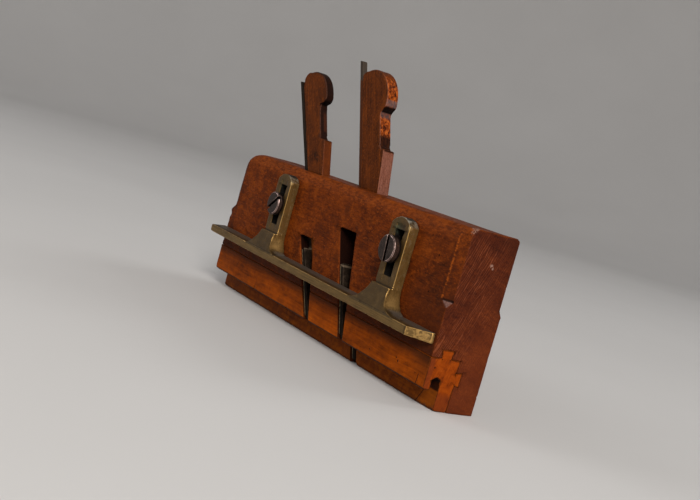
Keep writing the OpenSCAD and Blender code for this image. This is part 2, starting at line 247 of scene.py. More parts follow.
# ---------------------------------------------------------------- node helper
class Tree:
    def __init__(self, name):
        self.mat = bpy.data.materials.new(name)
        self.mat.use_nodes = True
        self.t = self.mat.node_tree
        self.t.nodes.clear()
        self.out = self.t.nodes.new("ShaderNodeOutputMaterial")
        self.bsdf = self.t.nodes.new("ShaderNodeBsdfPrincipled")
        self.t.links.new(self.bsdf.outputs[0], self.out.inputs[0])

    def put(self, sock, v):
        if isinstance(v, bpy.types.NodeSocket):
            self.t.links.new(v, sock)
        elif isinstance(v, (tuple, list)):
            v = tuple(v)
            n = len(sock.default_value)
            sock.default_value = (v + (1.0,))[:n] if n > len(v) else v[:n]
        elif hasattr(sock.default_value, "__len__"):
            sock.default_value = (v,) * len(sock.default_value)
        else:
            sock.default_value = v

    def new(self, kind, **kw):
        n = self.t.nodes.new(kind)
        for k, v in kw.items():
            setattr(n, k, v)
        return n

    def mm(self):
        """Object coordinates in mm."""
        tc = self.new("ShaderNodeTexCoord")
        v = self.new("ShaderNodeVectorMath", operation="SCALE")
        self.t.links.new(tc.outputs["Object"], v.inputs[0]); v.inputs["Scale"].default_value = 1000.0
        return v.outputs[0]

    def normal(self):
        return self.sep(self.new("ShaderNodeTexCoord").outputs["Normal"])

    def attr(self, name):
        return self.new("ShaderNodeAttribute", attribute_name=name).outputs["Fac"]

    def sep(self, v):
        n = self.new("ShaderNodeSeparateXYZ"); self.put(n.inputs[0], v)
        return n.outputs[0], n.outputs[1], n.outputs[2]

    def comb(self, x, y, z):
        n = self.new("ShaderNodeCombineXYZ")
        for i, v in enumerate((x, y, z)):
            self.put(n.inputs[i], v)
        return n.outputs[0]

    def m(self, op, a, b=0.0, c=0.0, clamp=False):
        n = self.new("ShaderNodeMath", operation=op, use_clamp=clamp)
        self.put(n.inputs[0], a); self.put(n.inputs[1], b)
        if op in ("MULTIPLY_ADD", "COMPARE", "SMOOTH_MIN", "SMOOTH_MAX", "WRAP"):
            self.put(n.inputs[2], c)
        return n.outputs[0]

    def add(self, a, b): return self.m("ADD", a, b)
    def sub(self, a, b): return self.m("SUBTRACT", a, b)
    def mul(self, a, b): return self.m("MULTIPLY", a, b)

    def vscale(self, v, s):
        """Multiplies a vector by three numbers."""
        n = self.new("ShaderNodeVectorMath", operation="MULTIPLY")
        self.put(n.inputs[0], v); n.inputs[1].default_value = s
        return n.outputs[0]

    def vadd(self, a, b):
        n = self.new("ShaderNodeVectorMath", operation="ADD")
        self.put(n.inputs[0], a); self.put(n.inputs[1], b)
        return n.outputs[0]

    def dist(self, v, p):
        n = self.new("ShaderNodeVectorMath", operation="DISTANCE")
        self.put(n.inputs[0], v); n.inputs[1].default_value = p
        return n.outputs["Value"]

    def noise(self, v, scale=1.0, detail=2.0, rough=0.5, warp=0.0, kind="FBM"):
        n = self.new("ShaderNodeTexNoise", noise_dimensions="3D", noise_type=kind)
        self.put(n.inputs["Vector"], v)
        n.inputs["Scale"].default_value = scale; n.inputs["Detail"].default_value = detail
        n.inputs["Roughness"].default_value = rough; n.inputs["Distortion"].default_value = warp
        return n.outputs["Fac"]

    def voro(self, v, scale=1.0, feature="F1", rand=1.0, out="Distance"):
        n = self.new("ShaderNodeTexVoronoi", voronoi_dimensions="3D", feature=feature)
        self.put(n.inputs["Vector"], v); n.inputs["Scale"].default_value = scale
        n.inputs["Randomness"].default_value = rand
        return n.outputs[out]

    def span(self, v, a, b, lo=0.0, hi=1.0, smooth=True):
        n = self.new("ShaderNodeMapRange", interpolation_type="SMOOTHSTEP" if smooth else "LINEAR", clamp=True)
        self.put(n.inputs[0], v)
        for i, x in enumerate((a, b, lo, hi)):
            self.put(n.inputs[1 + i], x)
        return n.outputs[0]

    def ramp(self, v, stops, mode="LINEAR"):
        n = self.new("ShaderNodeValToRGB"); self.put(n.inputs[0], v)
        r = n.color_ramp; r.interpolation = mode
        while len(r.elements) < len(stops):
            r.elements.new(0.5)
        for e, (p, c) in zip(r.elements, stops):
            e.position = p; e.color = (*c, 1) if len(c) == 3 else c
        return n.outputs[0]

    def mix(self, f, a, b, mode="MIX"):
        n = self.new("ShaderNodeMix", data_type="RGBA", blend_type=mode, clamp_factor=True)
        self.put(n.inputs[0], f); self.put(n.inputs[6], a); self.put(n.inputs[7], b)
        return n.outputs[2]

    def mixf(self, f, a, b):
        n = self.new("ShaderNodeMix", data_type="FLOAT", clamp_factor=True)
        self.put(n.inputs[0], f); self.put(n.inputs[2], a); self.put(n.inputs[3], b)
        return n.outputs[0]

    def bump(self, height, strength, distance, normal=None):
        n = self.new("ShaderNodeBump")
        n.inputs["Strength"].default_value = strength
        n.inputs["Distance"].default_value = distance
        self.put(n.inputs["Height"], height)
        if normal is not None:
            self.t.links.new(normal, n.inputs["Normal"])
        return n.outputs[0]

    def finish(self, color, rough, normal=None, **plain):
        self.put(self.bsdf.inputs["Base Color"], color)
        self.put(self.bsdf.inputs["Roughness"], rough)
        if normal is not None:
            self.t.links.new(normal, self.bsdf.inputs["Normal"])
        for k, v in plain.items():
            self.put(self.bsdf.inputs[k.replace("_", " ")], v)
        return self.mat


def dots(T, v, spots):
    """1 inside each spot (x, y, z, radius), with soft rims."""
    total = None
    for x, y, z, r in spots:
        d = T.dist(v, (x, y, z))
        s = T.span(d, r * 0.55, r, 1.0, 0.0)
        total = s if total is None else T.m("MAXIMUM", total, s)
    return total


# ---------------------------------------------------------------- woods
PITS = [(104.6, -17.5, 72.5, 0.62), (104.3, -17.5, 54.2, 0.55), (95.5, -17.5, 80.5, 0.5), (88, -17.5, 58, 0.4),
        (47, -17.5, 80, 0.5), (12, -17.5, 58, 0.45), (-14, -17.5, 66, 0.4), (-30, -17.5, 47, 0.4),
        (-80, -17.5, 60, 0.4), (-95, -17.5, 44, 0.45), (41, -17.5, 86.6, 0.6), (98, -17.5, 62, 0.35)]


def beech():
    T = Tree("beech")
    p = T.mm(); x, y, z = T.sep(p)
    nx, ny, nz = T.normal()
    ex = T.span(T.m("ABSOLUTE", nx), 0.75, 0.92)                      # end grain
    # long grain on the sides and top
    warp = T.noise(T.vscale(p, (0.012, 0.03, 0.03)), 1.0, 2, 0.5)
    zw = T.add(z, T.mul(warp, 14.0)); yw = T.add(y, T.mul(warp, 9.0))
    g = T.comb(T.mul(x, 0.055), T.mul(yw, 0.62), T.mul(zw, 0.62))
    streak = T.noise(g, 1.0, 5, 0.62, 0.3)
    fine = T.noise(T.comb(T.mul(x, 0.32), T.mul(y, 2.1), T.mul(z, 2.1)), 1.0, 3, 0.6)
    fleck = T.noise(T.comb(T.mul(x, 0.55), T.mul(y, 2.6), T.mul(z, 1.7)), 1.0, 2, 0.55, 0.4)
    blot = T.noise(p, 0.045, 4, 0.6, 0.6)
    blot2 = T.noise(T.vadd(p, (37, 11, 5)), 0.16, 4, 0.62, 0.8)
    tone = T.add(T.mul(streak, 0.42), T.add(T.mul(blot, 0.62), T.mul(blot2, 0.36)))
    tone = T.add(tone, T.add(T.mul(fine, 0.16), T.mul(fleck, 0.16)))
    side = T.ramp(T.span(tone, 0.58, 1.12, smooth=False), [
        (0.0, (0.014, 0.0045, 0.0022)), (0.2, (0.048, 0.0112, 0.0034)), (0.45, (0.102, 0.0195, 0.0036)),
        (0.7, (0.155, 0.0305, 0.0040)), (1.0, (0.25, 0.054, 0.0062))])
    specks = T.span(T.noise(T.comb(T.mul(x, 0.8), T.mul(y, 1.5), T.mul(z, 1.5)), 1.0, 1, 0.5, 0.6), 0.64, 0.76)
    side = T.mix(T.mul(specks, 0.65), side, (0.016, 0.005, 0.002))
    grit = T.noise(T.vadd(T.vscale(p, (0.30, 0.85, 0.85)), (3, 8, 1)), 1.0, 4, 0.68, 0.3)
    cloud = T.noise(T.vadd(T.vscale(p, (0.7, 1.0, 1.0)), (13, 28, 11)), 0.20, 4, 0.62, 0.5)
    side = T.mix(T.span(grit, 0.52, 0.74, 0.0, 0.60), side, (0.28, 0.058, 0.006))
    side = T.mix(T.span(grit, 0.47, 0.28, 0.0, 0.55), side, (0.018, 0.0055, 0.0025))
    tick = T.noise(T.vadd(T.vscale(p, (0.45, 1.1, 1.6)), (33, 4, 19)), 1.0, 2, 0.55, 0.5)
    side = T.mix(T.span(tick, 0.60, 0.70, 0.0, 0.50), side, (0.31, 0.068, 0.007))
    side = T.mix(T.span(tick, 0.36, 0.27, 0.0, 0.60), side, (0.012, 0.004, 0.002))
    side = T.mix(T.span(cloud, 0.50, 0.30, 0.0, 0.50), side, (0.034, 0.0100, 0.0040))
    side = T.mix(T.span(cloud, 0.52, 0.70, 0.0, 0.40), side, (0.25, 0.054, 0.0055))
    # end grain, with its rays leaning to the far side
    ray_u = T.sub(y, T.mul(z, 0.37))
    ray_u = T.add(ray_u, T.mul(T.noise(T.vscale(p, (0.0, 0.03, 0.02)), 1.0, 1, 0.5), 3.0))
    along = T.add(z, T.mul(y, 0.37))
    jit = T.noise(T.comb(0.0, T.mul(ray_u, 0.35), T.mul(along, 0.06)), 1.0, 2, 0.5)
    ray = T.m("ABSOLUTE", T.m("SINE", T.add(T.mul(ray_u, 2.35), T.mul(jit, 9.0))))
    ray_f = T.noise(T.comb(4.0, T.mul(ray_u, 3.2), T.mul(along, 0.5)), 1.0, 2, 0.6)
    pore = T.noise(T.vadd(T.vscale(p, (1.0, 2.4, 2.4)), (1, 5, 2)), 1.0, 2, 0.6)
    ring = T.noise(T.comb(9.0, T.mul(ray_u, 0.05), T.mul(T.add(along, T.mul(jit, 5.0)), 0.60)), 1.0, 3, 0.6)
    eb = T.noise(T.vadd(p, (9, 2, 31)), 0.07, 3, 0.6)
    come = T.noise(T.comb(7.0, T.mul(ray_u, 0.42), T.mul(along, 0.085)), 1.0, 3, 0.6)
    seen = T.mul(T.span(T.add(eb, T.mul(come, 0.9)), 0.80, 1.12, 0.10, 1.0), T.span(T.sub(y, T.mul(z, 0.16)), 6, -14, 0.22, 1.0))
    lines = T.mul(T.span(ray, 0.55, 0.08), seen)
    tone_e = T.add(T.add(T.mul(ray_f, 0.26), T.mul(pore, 0.30)), T.add(T.mul(ring, 0.30), T.mul(eb, 0.34)))
    tone_e = T.add(tone_e, T.mul(T.span(z, 75, 20), 0.06))
    end = T.ramp(T.span(tone_e, 0.40, 0.84, smooth=False), [
        (0.0, (0.018, 0.0060, 0.0040)), (0.3, (0.052, 0.0120, 0.0060)), (0.55, (0.090, 0.0190, 0.0070)),
        (0.8, (0.150, 0.033, 0.0090)), (1.0, (0.24, 0.060, 0.018))])
    end = T.mix(T.mul(T.mul(T.span(ray, 0.55, 1.0), seen), 0.25), end, (0.030, 0.0085, 0.0055))
    end = T.mix(T.mul(lines, 0.60), end, (0.25, 0.070, 0.030))
    warm = T.mul(T.span(T.add(y, T.mul(z, -0.18)), -12, 4), T.span(T.add(z, T.mul(eb, 20)), 62, 38))
    end = T.mix(T.mul(warm, 0.35), end, (0.165, 0.034, 0.0095))
    top_dark = T.mul(T.span(T.add(z, T.mul(y, 0.8)), 80, 98), T.span(eb, 0.35, 0.6, 0.4, 0.9))
    end = T.mix(T.mul(top_dark, 0.55), end, (0.034, 0.0095, 0.0055))
    col = T.mix(ex, side, end)
    # polish and wear: bright arrises, grime on the top; painted shade in the nooks and inside the escapements, a
    # painted shadow under the shelf, painted highlights on the toe stop's facet and the near top chamfer
    edge = T.attr("edge"); nook = T.attr("nook")
    en = T.noise(T.vadd(p, (3, 3, 3)), 0.5, 4, 0.65)
    bright_edge = T.mul(T.span(T.add(edge, T.mul(en, 1.6)), 0.75, 1.7, 1.0, 0.0), T.span(z, 34, 40, 0.0, 1.0))
    bright_edge = T.mul(bright_edge, T.span(en, 0.42, 0.58, 0.1, 1.0))
    cham = T.mul(T.span(T.m("ABSOLUTE", x), 112.5, 114.0), T.mul(T.span(T.m("ABSOLUTE", ny), 0.45, 0.6), T.span(z, 48, 51)))
    bright_edge = T.mul(bright_edge, T.sub(1.0, T.mul(cham, 0.9)))
    flat_y = T.span(T.m("ABSOLUTE", ny), 0.97, 0.90)
    col = T.mix(T.mul(T.mul(bright_edge, flat_y), 0.30), col, (0.26, 0.066, 0.013))
    # painted shade: the faces inside the escapements are darkened almost to black, most on the bed walls
    inside = T.mul(T.mul(T.span(T.m("ABSOLUTE", x), 100.0, 98.0), T.span(T.m("ABSOLUTE", y), 17.0, 16.4)),
                   T.mul(T.span(z, 87.5, 86.0), T.span(z, 8, 12)))
    inside = T.mul(inside, T.m("MAXIMUM", T.span(T.m("ABSOLUTE", y), 13.8, 13.4), T.span(z, 80, 79)))
    col = T.mix(T.mul(inside, T.span(nx, 0.3, 0.6, 0.88, 0.97)), col, (0.009, 0.0032, 0.0020))
    col = T.mix(T.mul(cham, T.span(T.add(grit, T.mul(blot2, 0.5)), 0.65, 0.85, 0.55, 0.15)), col, (0.045, 0.0115, 0.0050))
    # painted highlight: the toe stop's lower facet, which faces up, is made pale
    facet = T.mul(T.mul(T.span(z, 48.5, 49.5), T.span(z, 56, 54)), T.mul(T.span(x, 114.6, 115.4), T.span(nz, 0.22, 0.45)))
    col = T.mix(T.mul(facet, T.span(grit, 0.35, 0.6, 0.25, 0.75)), col, (0.20, 0.125, 0.110))
    # painted shadow: near-black in the crease at the top of the toe stop
    stop = T.mul(T.mul(T.span(nook, 0.85, 0.35), T.span(x, 113.5, 114.5)), T.mul(T.span(z, 48, 49), T.span(z, 58, 56)))
    col = T.mix(T.mul(stop, 0.92), col, (0.006, 0.003, 0.002))
    chip = T.mul(T.span(en, 0.60, 0.68), T.span(edge, 0.2, 0.9, 1.0, 0.0))
    col = T.mix(T.mul(T.mul(chip, flat_y), 0.55), col, (0.012, 0.004, 0.002))
    near_side = T.span(ny, -0.6, -0.9)
    # painted light: the near top chamfer, which faces up, is made lighter orange, broken by grit
    band = T.mul(T.mul(T.span(z, 81.5, 85.0), T.span(ny, -0.3, -0.6)), T.span(grit, 0.42, 0.62, 0.15, 0.75))
    col = T.mix(T.mul(band, 0.55), col, (0.27, 0.060, 0.009))
    # painted shadow under the brass shelf on the near side
    low = T.mul(T.mul(T.span(T.add(z, T.mul(blot2, 3.0)), 36.0, 29.0), T.span(z, 25.9, 26.3)), near_side)
    col = T.mix(T.mul(low, 0.55), col, (0.030, 0.0075, 0.0030))
    left = T.mul(T.mul(T.span(x, -108, -121), T.span(z, 80, 40)), near_side)
    col = T.mix(T.mul(left, 0.35), col, (0.03, 0.009, 0.004))
    toe_dark = T.mul(T.mul(T.span(T.add(x, T.mul(blot, 30)), 90, 128), T.span(z, 70, 45)), near_side)
    col = T.mix(T.mul(toe_dark, 0.50), col, (0.040, 0.010, 0.004))
    toward = T.mul(T.span(x, 60, 118), near_side)
    col = T.mix(T.mul(toward, 0.24), col, (0.050, 0.013, 0.005))
    # painted shade where the brass's slots and the screws cover the side
    slot_shade = T.m("MAXIMUM", T.span(T.m("ABSOLUTE", T.sub(x, 75.65)), 4.6, 4.0), T.span(T.m("ABSOLUTE", T.sub(x, -50.65)), 4.6, 4.0))
    slot_shade = T.mul(T.mul(slot_shade, T.mul(T.span(z, 51, 52), T.span(z, 80, 79))), near_side)
    col = T.mix(T.mul(slot_shade, 0.97), col, (0.0035, 0.002, 0.0015))
    # painted shade in the nooks, on all faces but the near side
    nook_shade = T.mul(T.span(nook, 0.0, 1.1, 1.0, 0.0), T.span(near_side, 0.0, 1.0, 0.85, 0.0))
    col = T.mix(nook_shade, col, (0.007, 0.003, 0.002))
    # an orange rub beside the toe chamfer, the pale bruises at the toe's top corner
    rubx = T.mul(T.span(T.m("ABSOLUTE", T.sub(x, T.add(115.0, T.mul(en, 0.9)))), 0.15, 0.85, 1.0, 0.0), T.span(z, 52, 56))
    rubx = T.mul(rubx, T.mul(T.span(z, 90, 84), near_side))
    rubx = T.mul(rubx, T.span(grit, 0.44, 0.58, 0.1, 1.0))
    col = T.mix(T.mul(rubx, 0.60), col, (0.36, 0.080, 0.009))
    bn = T.noise(T.vadd(p, (3, 3, 3)), 1.3, 3, 0.7)
    bruise = T.mul(dots(T, p, [(120.0, -12.9, 89.3, 2.0), (120.5, -14.3, 87.6, 1.2), (119.6, -11.3, 90.0, 1.3),
                               (120.65, 2.2, 74.5, 1.2), (120.65, 3.2, 73.2, 0.9)]), T.span(bn, 0.45, 0.62))
    col = T.mix(T.mul(bruise, 0.65), col, (0.46, 0.29, 0.22))
    knock = T.mul(dots(T, p, [(120.6, 0.8, 89.3, 1.4), (120.6, 4.0, 88.8, 1.2), (119.5, -15.6, 86.0, 1.6)]), T.span(bn, 0.5, 0.62))
    col = T.mix(T.mul(knock, 0.8), col, (0.008, 0.004, 0.003))
    pits = dots(T, p, PITS)
    col = T.mix(T.mul(pits, 0.97), col, (0.004, 0.002, 0.0015))
    h = T.add(T.mul(streak, 0.55), T.add(T.mul(fine, 0.35), T.mul(fleck, 0.25)))
    h = T.add(h, T.mul(grit, 0.35))
    h = T.mixf(ex, h, T.add(T.mul(lines, 0.5), T.mul(T.add(ray_f, pore), 0.45)))
    h = T.sub(h, T.mul(pits, 2.2))
    h = T.sub(h, T.mul(specks, 0.25))
    nrm = T.bump(h, 0.55, 0.00028)
    rough = T.span(T.add(T.mul(blot2, 0.6), T.mul(fine, 0.4)), 0.3, 0.75, 0.36, 0.58)
    rough = T.m("ADD", rough, T.mul(T.m("MAXIMUM", nook_shade, inside), 0.3), clamp=True)
    return T.finish(col, rough, nrm, Specular_IOR_Level=0.02)


def boxwood():
    T = Tree("boxwood")
    p = T.mm(); x, y, z = T.sep(p)
    nx, ny, nz = T.normal()
    ex = T.span(T.m("ABSOLUTE", nx), 0.75, 0.92)
    warp = T.noise(T.vscale(p, (0.01, 0.04, 0.04)), 1.0, 2, 0.5)
    g = T.comb(T.mul(x, 0.03), T.mul(T.add(y, T.mul(warp, 6)), 0.8), T.mul(T.add(z, T.mul(warp, 9)), 0.8))
    streak = T.noise(g, 1.0, 5, 0.6, 0.2)
    fine = T.noise(T.comb(T.mul(x, 0.25), T.mul(y, 3.0), T.mul(z, 3.0)), 1.0, 3, 0.6)
    blot = T.noise(T.vscale(p, (0.6, 1, 1)), 0.07, 4, 0.6, 0.5)
    blot2 = T.noise(T.vadd(p, (7, 51, 5)), 0.22, 4, 0.6, 0.8)
    tone = T.add(T.add(T.mul(streak, 0.5), T.mul(blot, 0.6)), T.add(T.mul(blot2, 0.3), T.mul(fine, 0.2)))
    side = T.ramp(T.span(tone, 0.55, 1.05, smooth=False), [
        (0.0, (0.042, 0.0095, 0.0016)), (0.25, (0.125, 0.0240, 0.0015)), (0.5, (0.215, 0.040, 0.0016)),
        (0.75, (0.295, 0.056, 0.0018)), (1.0, (0.42, 0.092, 0.0040))])
    specks = T.span(T.noise(T.comb(T.mul(x, 0.5), T.mul(y, 1.3), T.mul(z, 1.3)), 1.0, 2, 0.5, 0.5), 0.66, 0.76)
    side = T.mix(T.mul(specks, 0.6), side, (0.028, 0.008, 0.002))
    er = T.noise(T.comb(0.0, T.mul(T.sub(y, T.mul(z, 0.3)), 3.0), T.mul(z, 0.25)), 1.0, 3, 0.6)
    end = T.ramp(T.span(T.add(T.mul(er, 0.5), T.mul(blot2, 0.6)), 0.35, 0.80, smooth=False), [
        (0.0, (0.095, 0.016, 0.0030)), (0.4, (0.25, 0.041, 0.0030)), (1.0, (0.40, 0.078, 0.0060))])
    col = T.mix(ex, side, end)
    # duller brown on the fence, a painted shadow as a dark line above the land, dark lines beside the joints
    fence = T.mul(T.span(z, 10.6, 9.4), T.span(ny, -0.5, -0.9))
    col = T.mix(T.mul(fence, T.span(T.add(T.mul(blot, 0.6), T.mul(streak, 0.4)), 0.38, 0.60, 0.42, 0.66)), col, (0.085, 0.021, 0.0038))
    col = T.mix(T.mul(fence, T.span(T.add(T.mul(blot2, 0.6), T.mul(streak, 0.4)), 0.47, 0.60, 0.0, 0.55)), col, (0.25, 0.060, 0.0030))
    col = T.mix(T.mul(fence, T.span(T.add(T.mul(blot2, 0.5), T.mul(fine, 0.5)), 0.46, 0.34, 0.0, 0.60)), col, (0.022, 0.007, 0.0022))
    col = T.mix(T.mul(T.mul(fence, T.span(T.add(x, T.mul(blot2, 12)), 98, 124)), 0.5), col, (0.26, 0.062, 0.0030))
    bottom = T.mul(T.span(T.add(z, T.mul(blot2, 1.6)), 3.2, 1.2), T.span(ny, -0.2, -0.6))
    col = T.mix(T.mul(bottom, 0.4), col, (0.03, 0.010, 0.004))
    # painted shadow: a broad darker band along the top of the boxing's near face
    top = T.mul(T.span(T.add(z, T.mul(blot, 5.0)), 22.5, 28.0), T.span(ny, -0.7, -0.9))
    col = T.mix(T.mul(top, 0.72), col, (0.035, 0.010, 0.0035))
    toe = T.mul(T.mul(T.span(T.add(x, T.mul(blot2, 9)), 106, 121), T.span(z, 11, 26)), T.span(ny, -0.7, -0.9))
    col = T.mix(T.mul(toe, 0.6), col, (0.035, 0.011, 0.004))
    left = T.mul(T.span(y, -13.4, -15.0), ex)
    col = T.mix(T.mul(left, 0.5), col, (0.10, 0.021, 0.010))
    # painted shade on the walls inside the mouths
    walls = T.mul(T.span(T.m("ABSOLUTE", nx), 0.35, 0.6), T.span(T.m("ABSOLUTE", x), 119, 117))
    col = T.mix(T.mul(walls, 0.85), col, (0.014, 0.005, 0.003))
    low_end = T.mul(T.mul(T.span(z, 10.5, 7.5), ex), 0.55)
    col = T.mix(low_end, col, (0.11, 0.022, 0.008))
    edge = T.attr("edge"); nook = T.attr("nook")
    en = T.noise(T.vadd(p, (13, 3, 8)), 0.6, 4, 0.65)
    bright_edge = T.span(T.add(edge, T.mul(en, 1.2)), 0.7, 1.5, 1.0, 0.0)
    col = T.mix(T.mul(bright_edge, 0.28), col, (0.20, 0.055, 0.008))
    crev = T.mul(T.span(edge, T.mixf(ex, 0.10, 0.25), T.mixf(ex, 0.42, 0.85), 1.0, 0.0), T.mixf(ex, 0.60, 0.85))
    col = T.mix(T.mul(crev, T.span(en, 0.35, 0.6, 0.55, 1.0)), col, (0.012, 0.005, 0.003))
    # painted shadow: a near-black line along the land's arris
    lip = T.mul(T.mul(T.span(z, 11.1, 10.75), T.span(z, 8.0, 8.6)), T.mul(T.span(y, -15.2, -16.2), T.sub(1.0, ex)))
    col = T.mix(T.mul(lip, 0.97), col, (0.0045, 0.0025, 0.002))
    seam = T.mul(T.mul(T.span(z, 25.5, 26.0), T.span(ny, -0.6, -0.9)), 0.8)
    col = T.mix(seam, col, (0.010, 0.004, 0.002))
    # painted shade in the nooks and creases
    dark = T.mul(T.span(nook, 0.0, 1.2, 1.0, 0.0), 0.9)
    col = T.mix(dark, col, (0.007, 0.003, 0.002))
    groove = T.mul(T.mul(T.span(y, -13.3, -12.9), T.span(y, -7.7, -8.0)), T.mul(T.span(z, 9.6, 10.6), T.span(z, 17.2, 16.8)))
    col = T.mix(T.mul(T.mul(groove, T.sub(1.0, ex)), 0.95), col, (0.005, 0.0025, 0.002))
    spots = dots(T, p, [(94.2, -17.5, 17.6, 0.7), (96.0, -17.5, 16.4, 0.8), (-63, -17.5, 12.2, 0.8),
                        (9, -8, 4.5, 0.6), (-43, -8, 3.1, 0.6), (71, -17.5, 14.6, 0.5), (120.65, -13.6, 21.5, 0.6)])
    col = T.mix(T.mul(spots, 0.85), col, (0.010, 0.005, 0.003))
    # two short cracks near the toe
    cx = T.add(x, T.mul(T.noise(p, 0.9, 3, 0.6), 1.2))
    crack1 = T.mul(T.span(T.m("ABSOLUTE", T.sub(cx, T.add(113.6, T.mul(z, 0.12)))), 0.12, 0.36, 1.0, 0.0),
                   T.mul(T.span(z, 9.5, 10.5), T.span(z, 17.5, 15.0)))
    crack2 = T.mul(T.span(T.m("ABSOLUTE", T.sub(cx, T.add(106.4, T.mul(z, 0.55)))), 0.14, 0.42, 1.0, 0.0), T.span(z, 10.4, 8.0))
    crack = T.mul(T.m("MAXIMUM", crack1, crack2), T.span(ny, -0.5, -0.9))
    col = T.mix(T.mul(crack, 0.9), col, (0.010, 0.004, 0.003))
    h = T.add(T.mul(streak, 0.45), T.mul(fine, 0.4))
    h = T.mixf(ex, h, T.mul(er, 0.8))
    h = T.sub(h, T.add(T.mul(spots, 1.6), T.mul(crack, 2.0)))
    nrm = T.bump(h, 0.5, 0.00025)
    rough = T.span(T.add(T.mul(blot2, 0.6), T.mul(fine, 0.4)), 0.3, 0.75, 0.34, 0.54)
    return T.finish(col, rough, nrm, Specular_IOR_Level=0.02)


def wedge_wood(name, slope, front):
    """slope leans the grain along the wedge; front picks the front wedge's finish."""
    T = Tree(name)
    p = T.mm(); x, y, z = T.sep(p)
    nx, ny, nz = T.normal()
    q = T.add(x, T.mul(z, slope))
    warp = T.noise(T.comb(T.mul(q, 0.05), T.mul(y, 0.05), T.mul(z, 0.018)), 1.0, 2, 0.5)
    g = T.comb(T.mul(T.add(q, T.mul(warp, 6)), 0.75), T.mul(y, 0.75), T.mul(z, 0.035))
    streak = T.noise(g, 1.0, 5, 0.62, 0.25)
    fine = T.noise(T.comb(T.mul(q, 2.6), T.mul(y, 2.6), T.mul(z, 0.3)), 1.0, 3, 0.6)
    blot = T.noise(p, 0.09, 4, 0.6, 0.6)
    tone = T.add(T.add(T.mul(streak, 0.6), T.mul(blot, 0.5)), T.mul(fine, 0.22))
    col = T.ramp(T.span(tone, 0.42, 0.92, smooth=False), [
        (0.0, (0.016, 0.0048, 0.0018)), (0.3, (0.052, 0.0125, 0.0026)), (0.55, (0.092, 0.0205, 0.0030)),
        (0.8, (0.150, 0.034, 0.0038)), (1.0, (0.23, 0.056, 0.0060))])
    grit = T.noise(T.vadd(T.vscale(p, (1.3, 1.3, 0.9)), (6, 1, 4)), 1.0, 3, 0.7)
    col = T.mix(T.span(grit, 0.52, 0.72, 0.0, 0.60), col, (0.24, 0.056, 0.006))
    col = T.mix(T.span(grit, 0.46, 0.30, 0.0, 0.60), col, (0.014, 0.0045, 0.002))
    # the curved front faces show more figure
    fx = T.span(nx, 0.35, 0.75)
    fig = T.noise(T.comb(T.mul(x, 0.45), T.mul(y, 0.8), T.mul(z, 0.42)), 1.0, 5, 0.7, 0.4)
    if front:
        fcol = T.ramp(T.span(fig, 0.38, 0.62, smooth=False), [
            (0.0, (0.020, 0.006, 0.003)), (0.4, (0.15, 0.027, 0.005)), (0.7, (0.34, 0.068, 0.009)), (1.0, (0.42, 0.11, 0.020))])
        col = T.mix(T.mul(fx, T.span(z, 112.8, 113.6)), col, fcol)
        # painted sheen: the stem's toe-facing faces are made pale pink
        pale = T.mul(T.mul(fx, T.span(z, 113.4, 112.4)), 0.9)
        pcol = T.ramp(T.span(T.noise(T.comb(T.mul(y, 2.4), 0.0, T.mul(z, 0.10)), 1.0, 3, 0.6), 0.3, 0.7), [
            (0.0, (0.150, 0.048, 0.028)), (1.0, (0.29, 0.118, 0.080))])
        pcol = T.mix(T.span(grit, 0.50, 0.34, 0.0, 0.65), pcol, (0.050, 0.017, 0.010))
        col = T.mix(pale, col, pcol)
        foot = T.mul(T.mul(T.span(T.add(z, T.mul(grit, 3.0)), 124.0, 121.5), T.span(z, 112.4, 113.4)), T.span(nx, 0.2, 0.5))
        col = T.mix(T.mul(foot, 0.92), col, (0.008, 0.0035, 0.0025))
        # painted highlights: a pink-grey highlight on the nose, and a grey sheen on the top of the hollow below it
        grey = (0.115, 0.078, 0.075)
        nose = T.mul(T.mul(T.span(z, 141.5, 140.2), T.span(z, 136.4, 137.6)), T.span(nx, 0.2, 0.5))
        nose = T.mul(nose, T.span(x, 4.5, 5.5))
        col = T.mix(T.mul(nose, T.span(grit, 0.35, 0.6, 0.45, 0.9)), col, grey)
        shelf = T.mul(T.mul(T.span(z, 138.0, 137.0), T.span(T.add(z, T.mul(grit, 2.0)), 130.6, 132.2)), T.mul(fx, T.span(x, 5.4, 4.6)))
        col = T.mix(T.mul(shelf, T.span(grit, 0.35, 0.6, 0.5, 0.95)), col, (0.075, 0.050, 0.049))
    else:
        dk = T.mul(T.span(T.add(nx, T.mul(T.m("MAXIMUM", nz, 0.0), 0.9)), 0.22, 0.5), T.span(z, 109.0, 110.5))
        col = T.mix(T.mul(dk, T.span(grit, 0.40, 0.66, 0.98, 0.88)), col, (0.011, 0.0046, 0.0034))
        flow = T.mul(T.mul(fx, T.span(z, 126, 123)), T.mul(T.span(z, 113.5, 115.5), T.span(y, -9.6, -9.0)))
        col = T.mix(T.mul(flow, 0.5), col, (0.075, 0.020, 0.008))
        stem = T.mul(fx, T.span(z, 109.6, 108.6))
        col = T.mix(T.mul(stem, 0.5), col, (0.125, 0.029, 0.009))
        spot = dots(T, p, [(-43.0, -11.9, 99.5, 3.4), (-40.5, -11.9, 97.3, 2.2), (-46, -11.9, 95.8, 2.4)])
        spot = T.mul(spot, T.span(T.noise(p, 0.8, 3, 0.6), 0.35, 0.6))
        col = T.mix(T.mul(spot, 0.7), col, (0.012, 0.005, 0.003))
    # painted light: the near face far inside the escapement is brightened toward orange
    deep_fill_light = T.mul(T.span(z, 68, 66), T.span(ny, -0.5, -0.9))
    col = T.mix(T.mul(deep_fill_light, 0.6), col, (0.30, 0.085, 0.020))
    # painted shade: the faces turned down are made near-black
    under = T.span(nz, -0.20, -0.5)
    col = T.mix(T.mul(under, 0.96), col, (0.0045, 0.0022, 0.0016))
    edge = T.attr("edge")
    en = T.noise(T.vadd(p, (1, 3, 8)), 0.7, 4, 0.65)
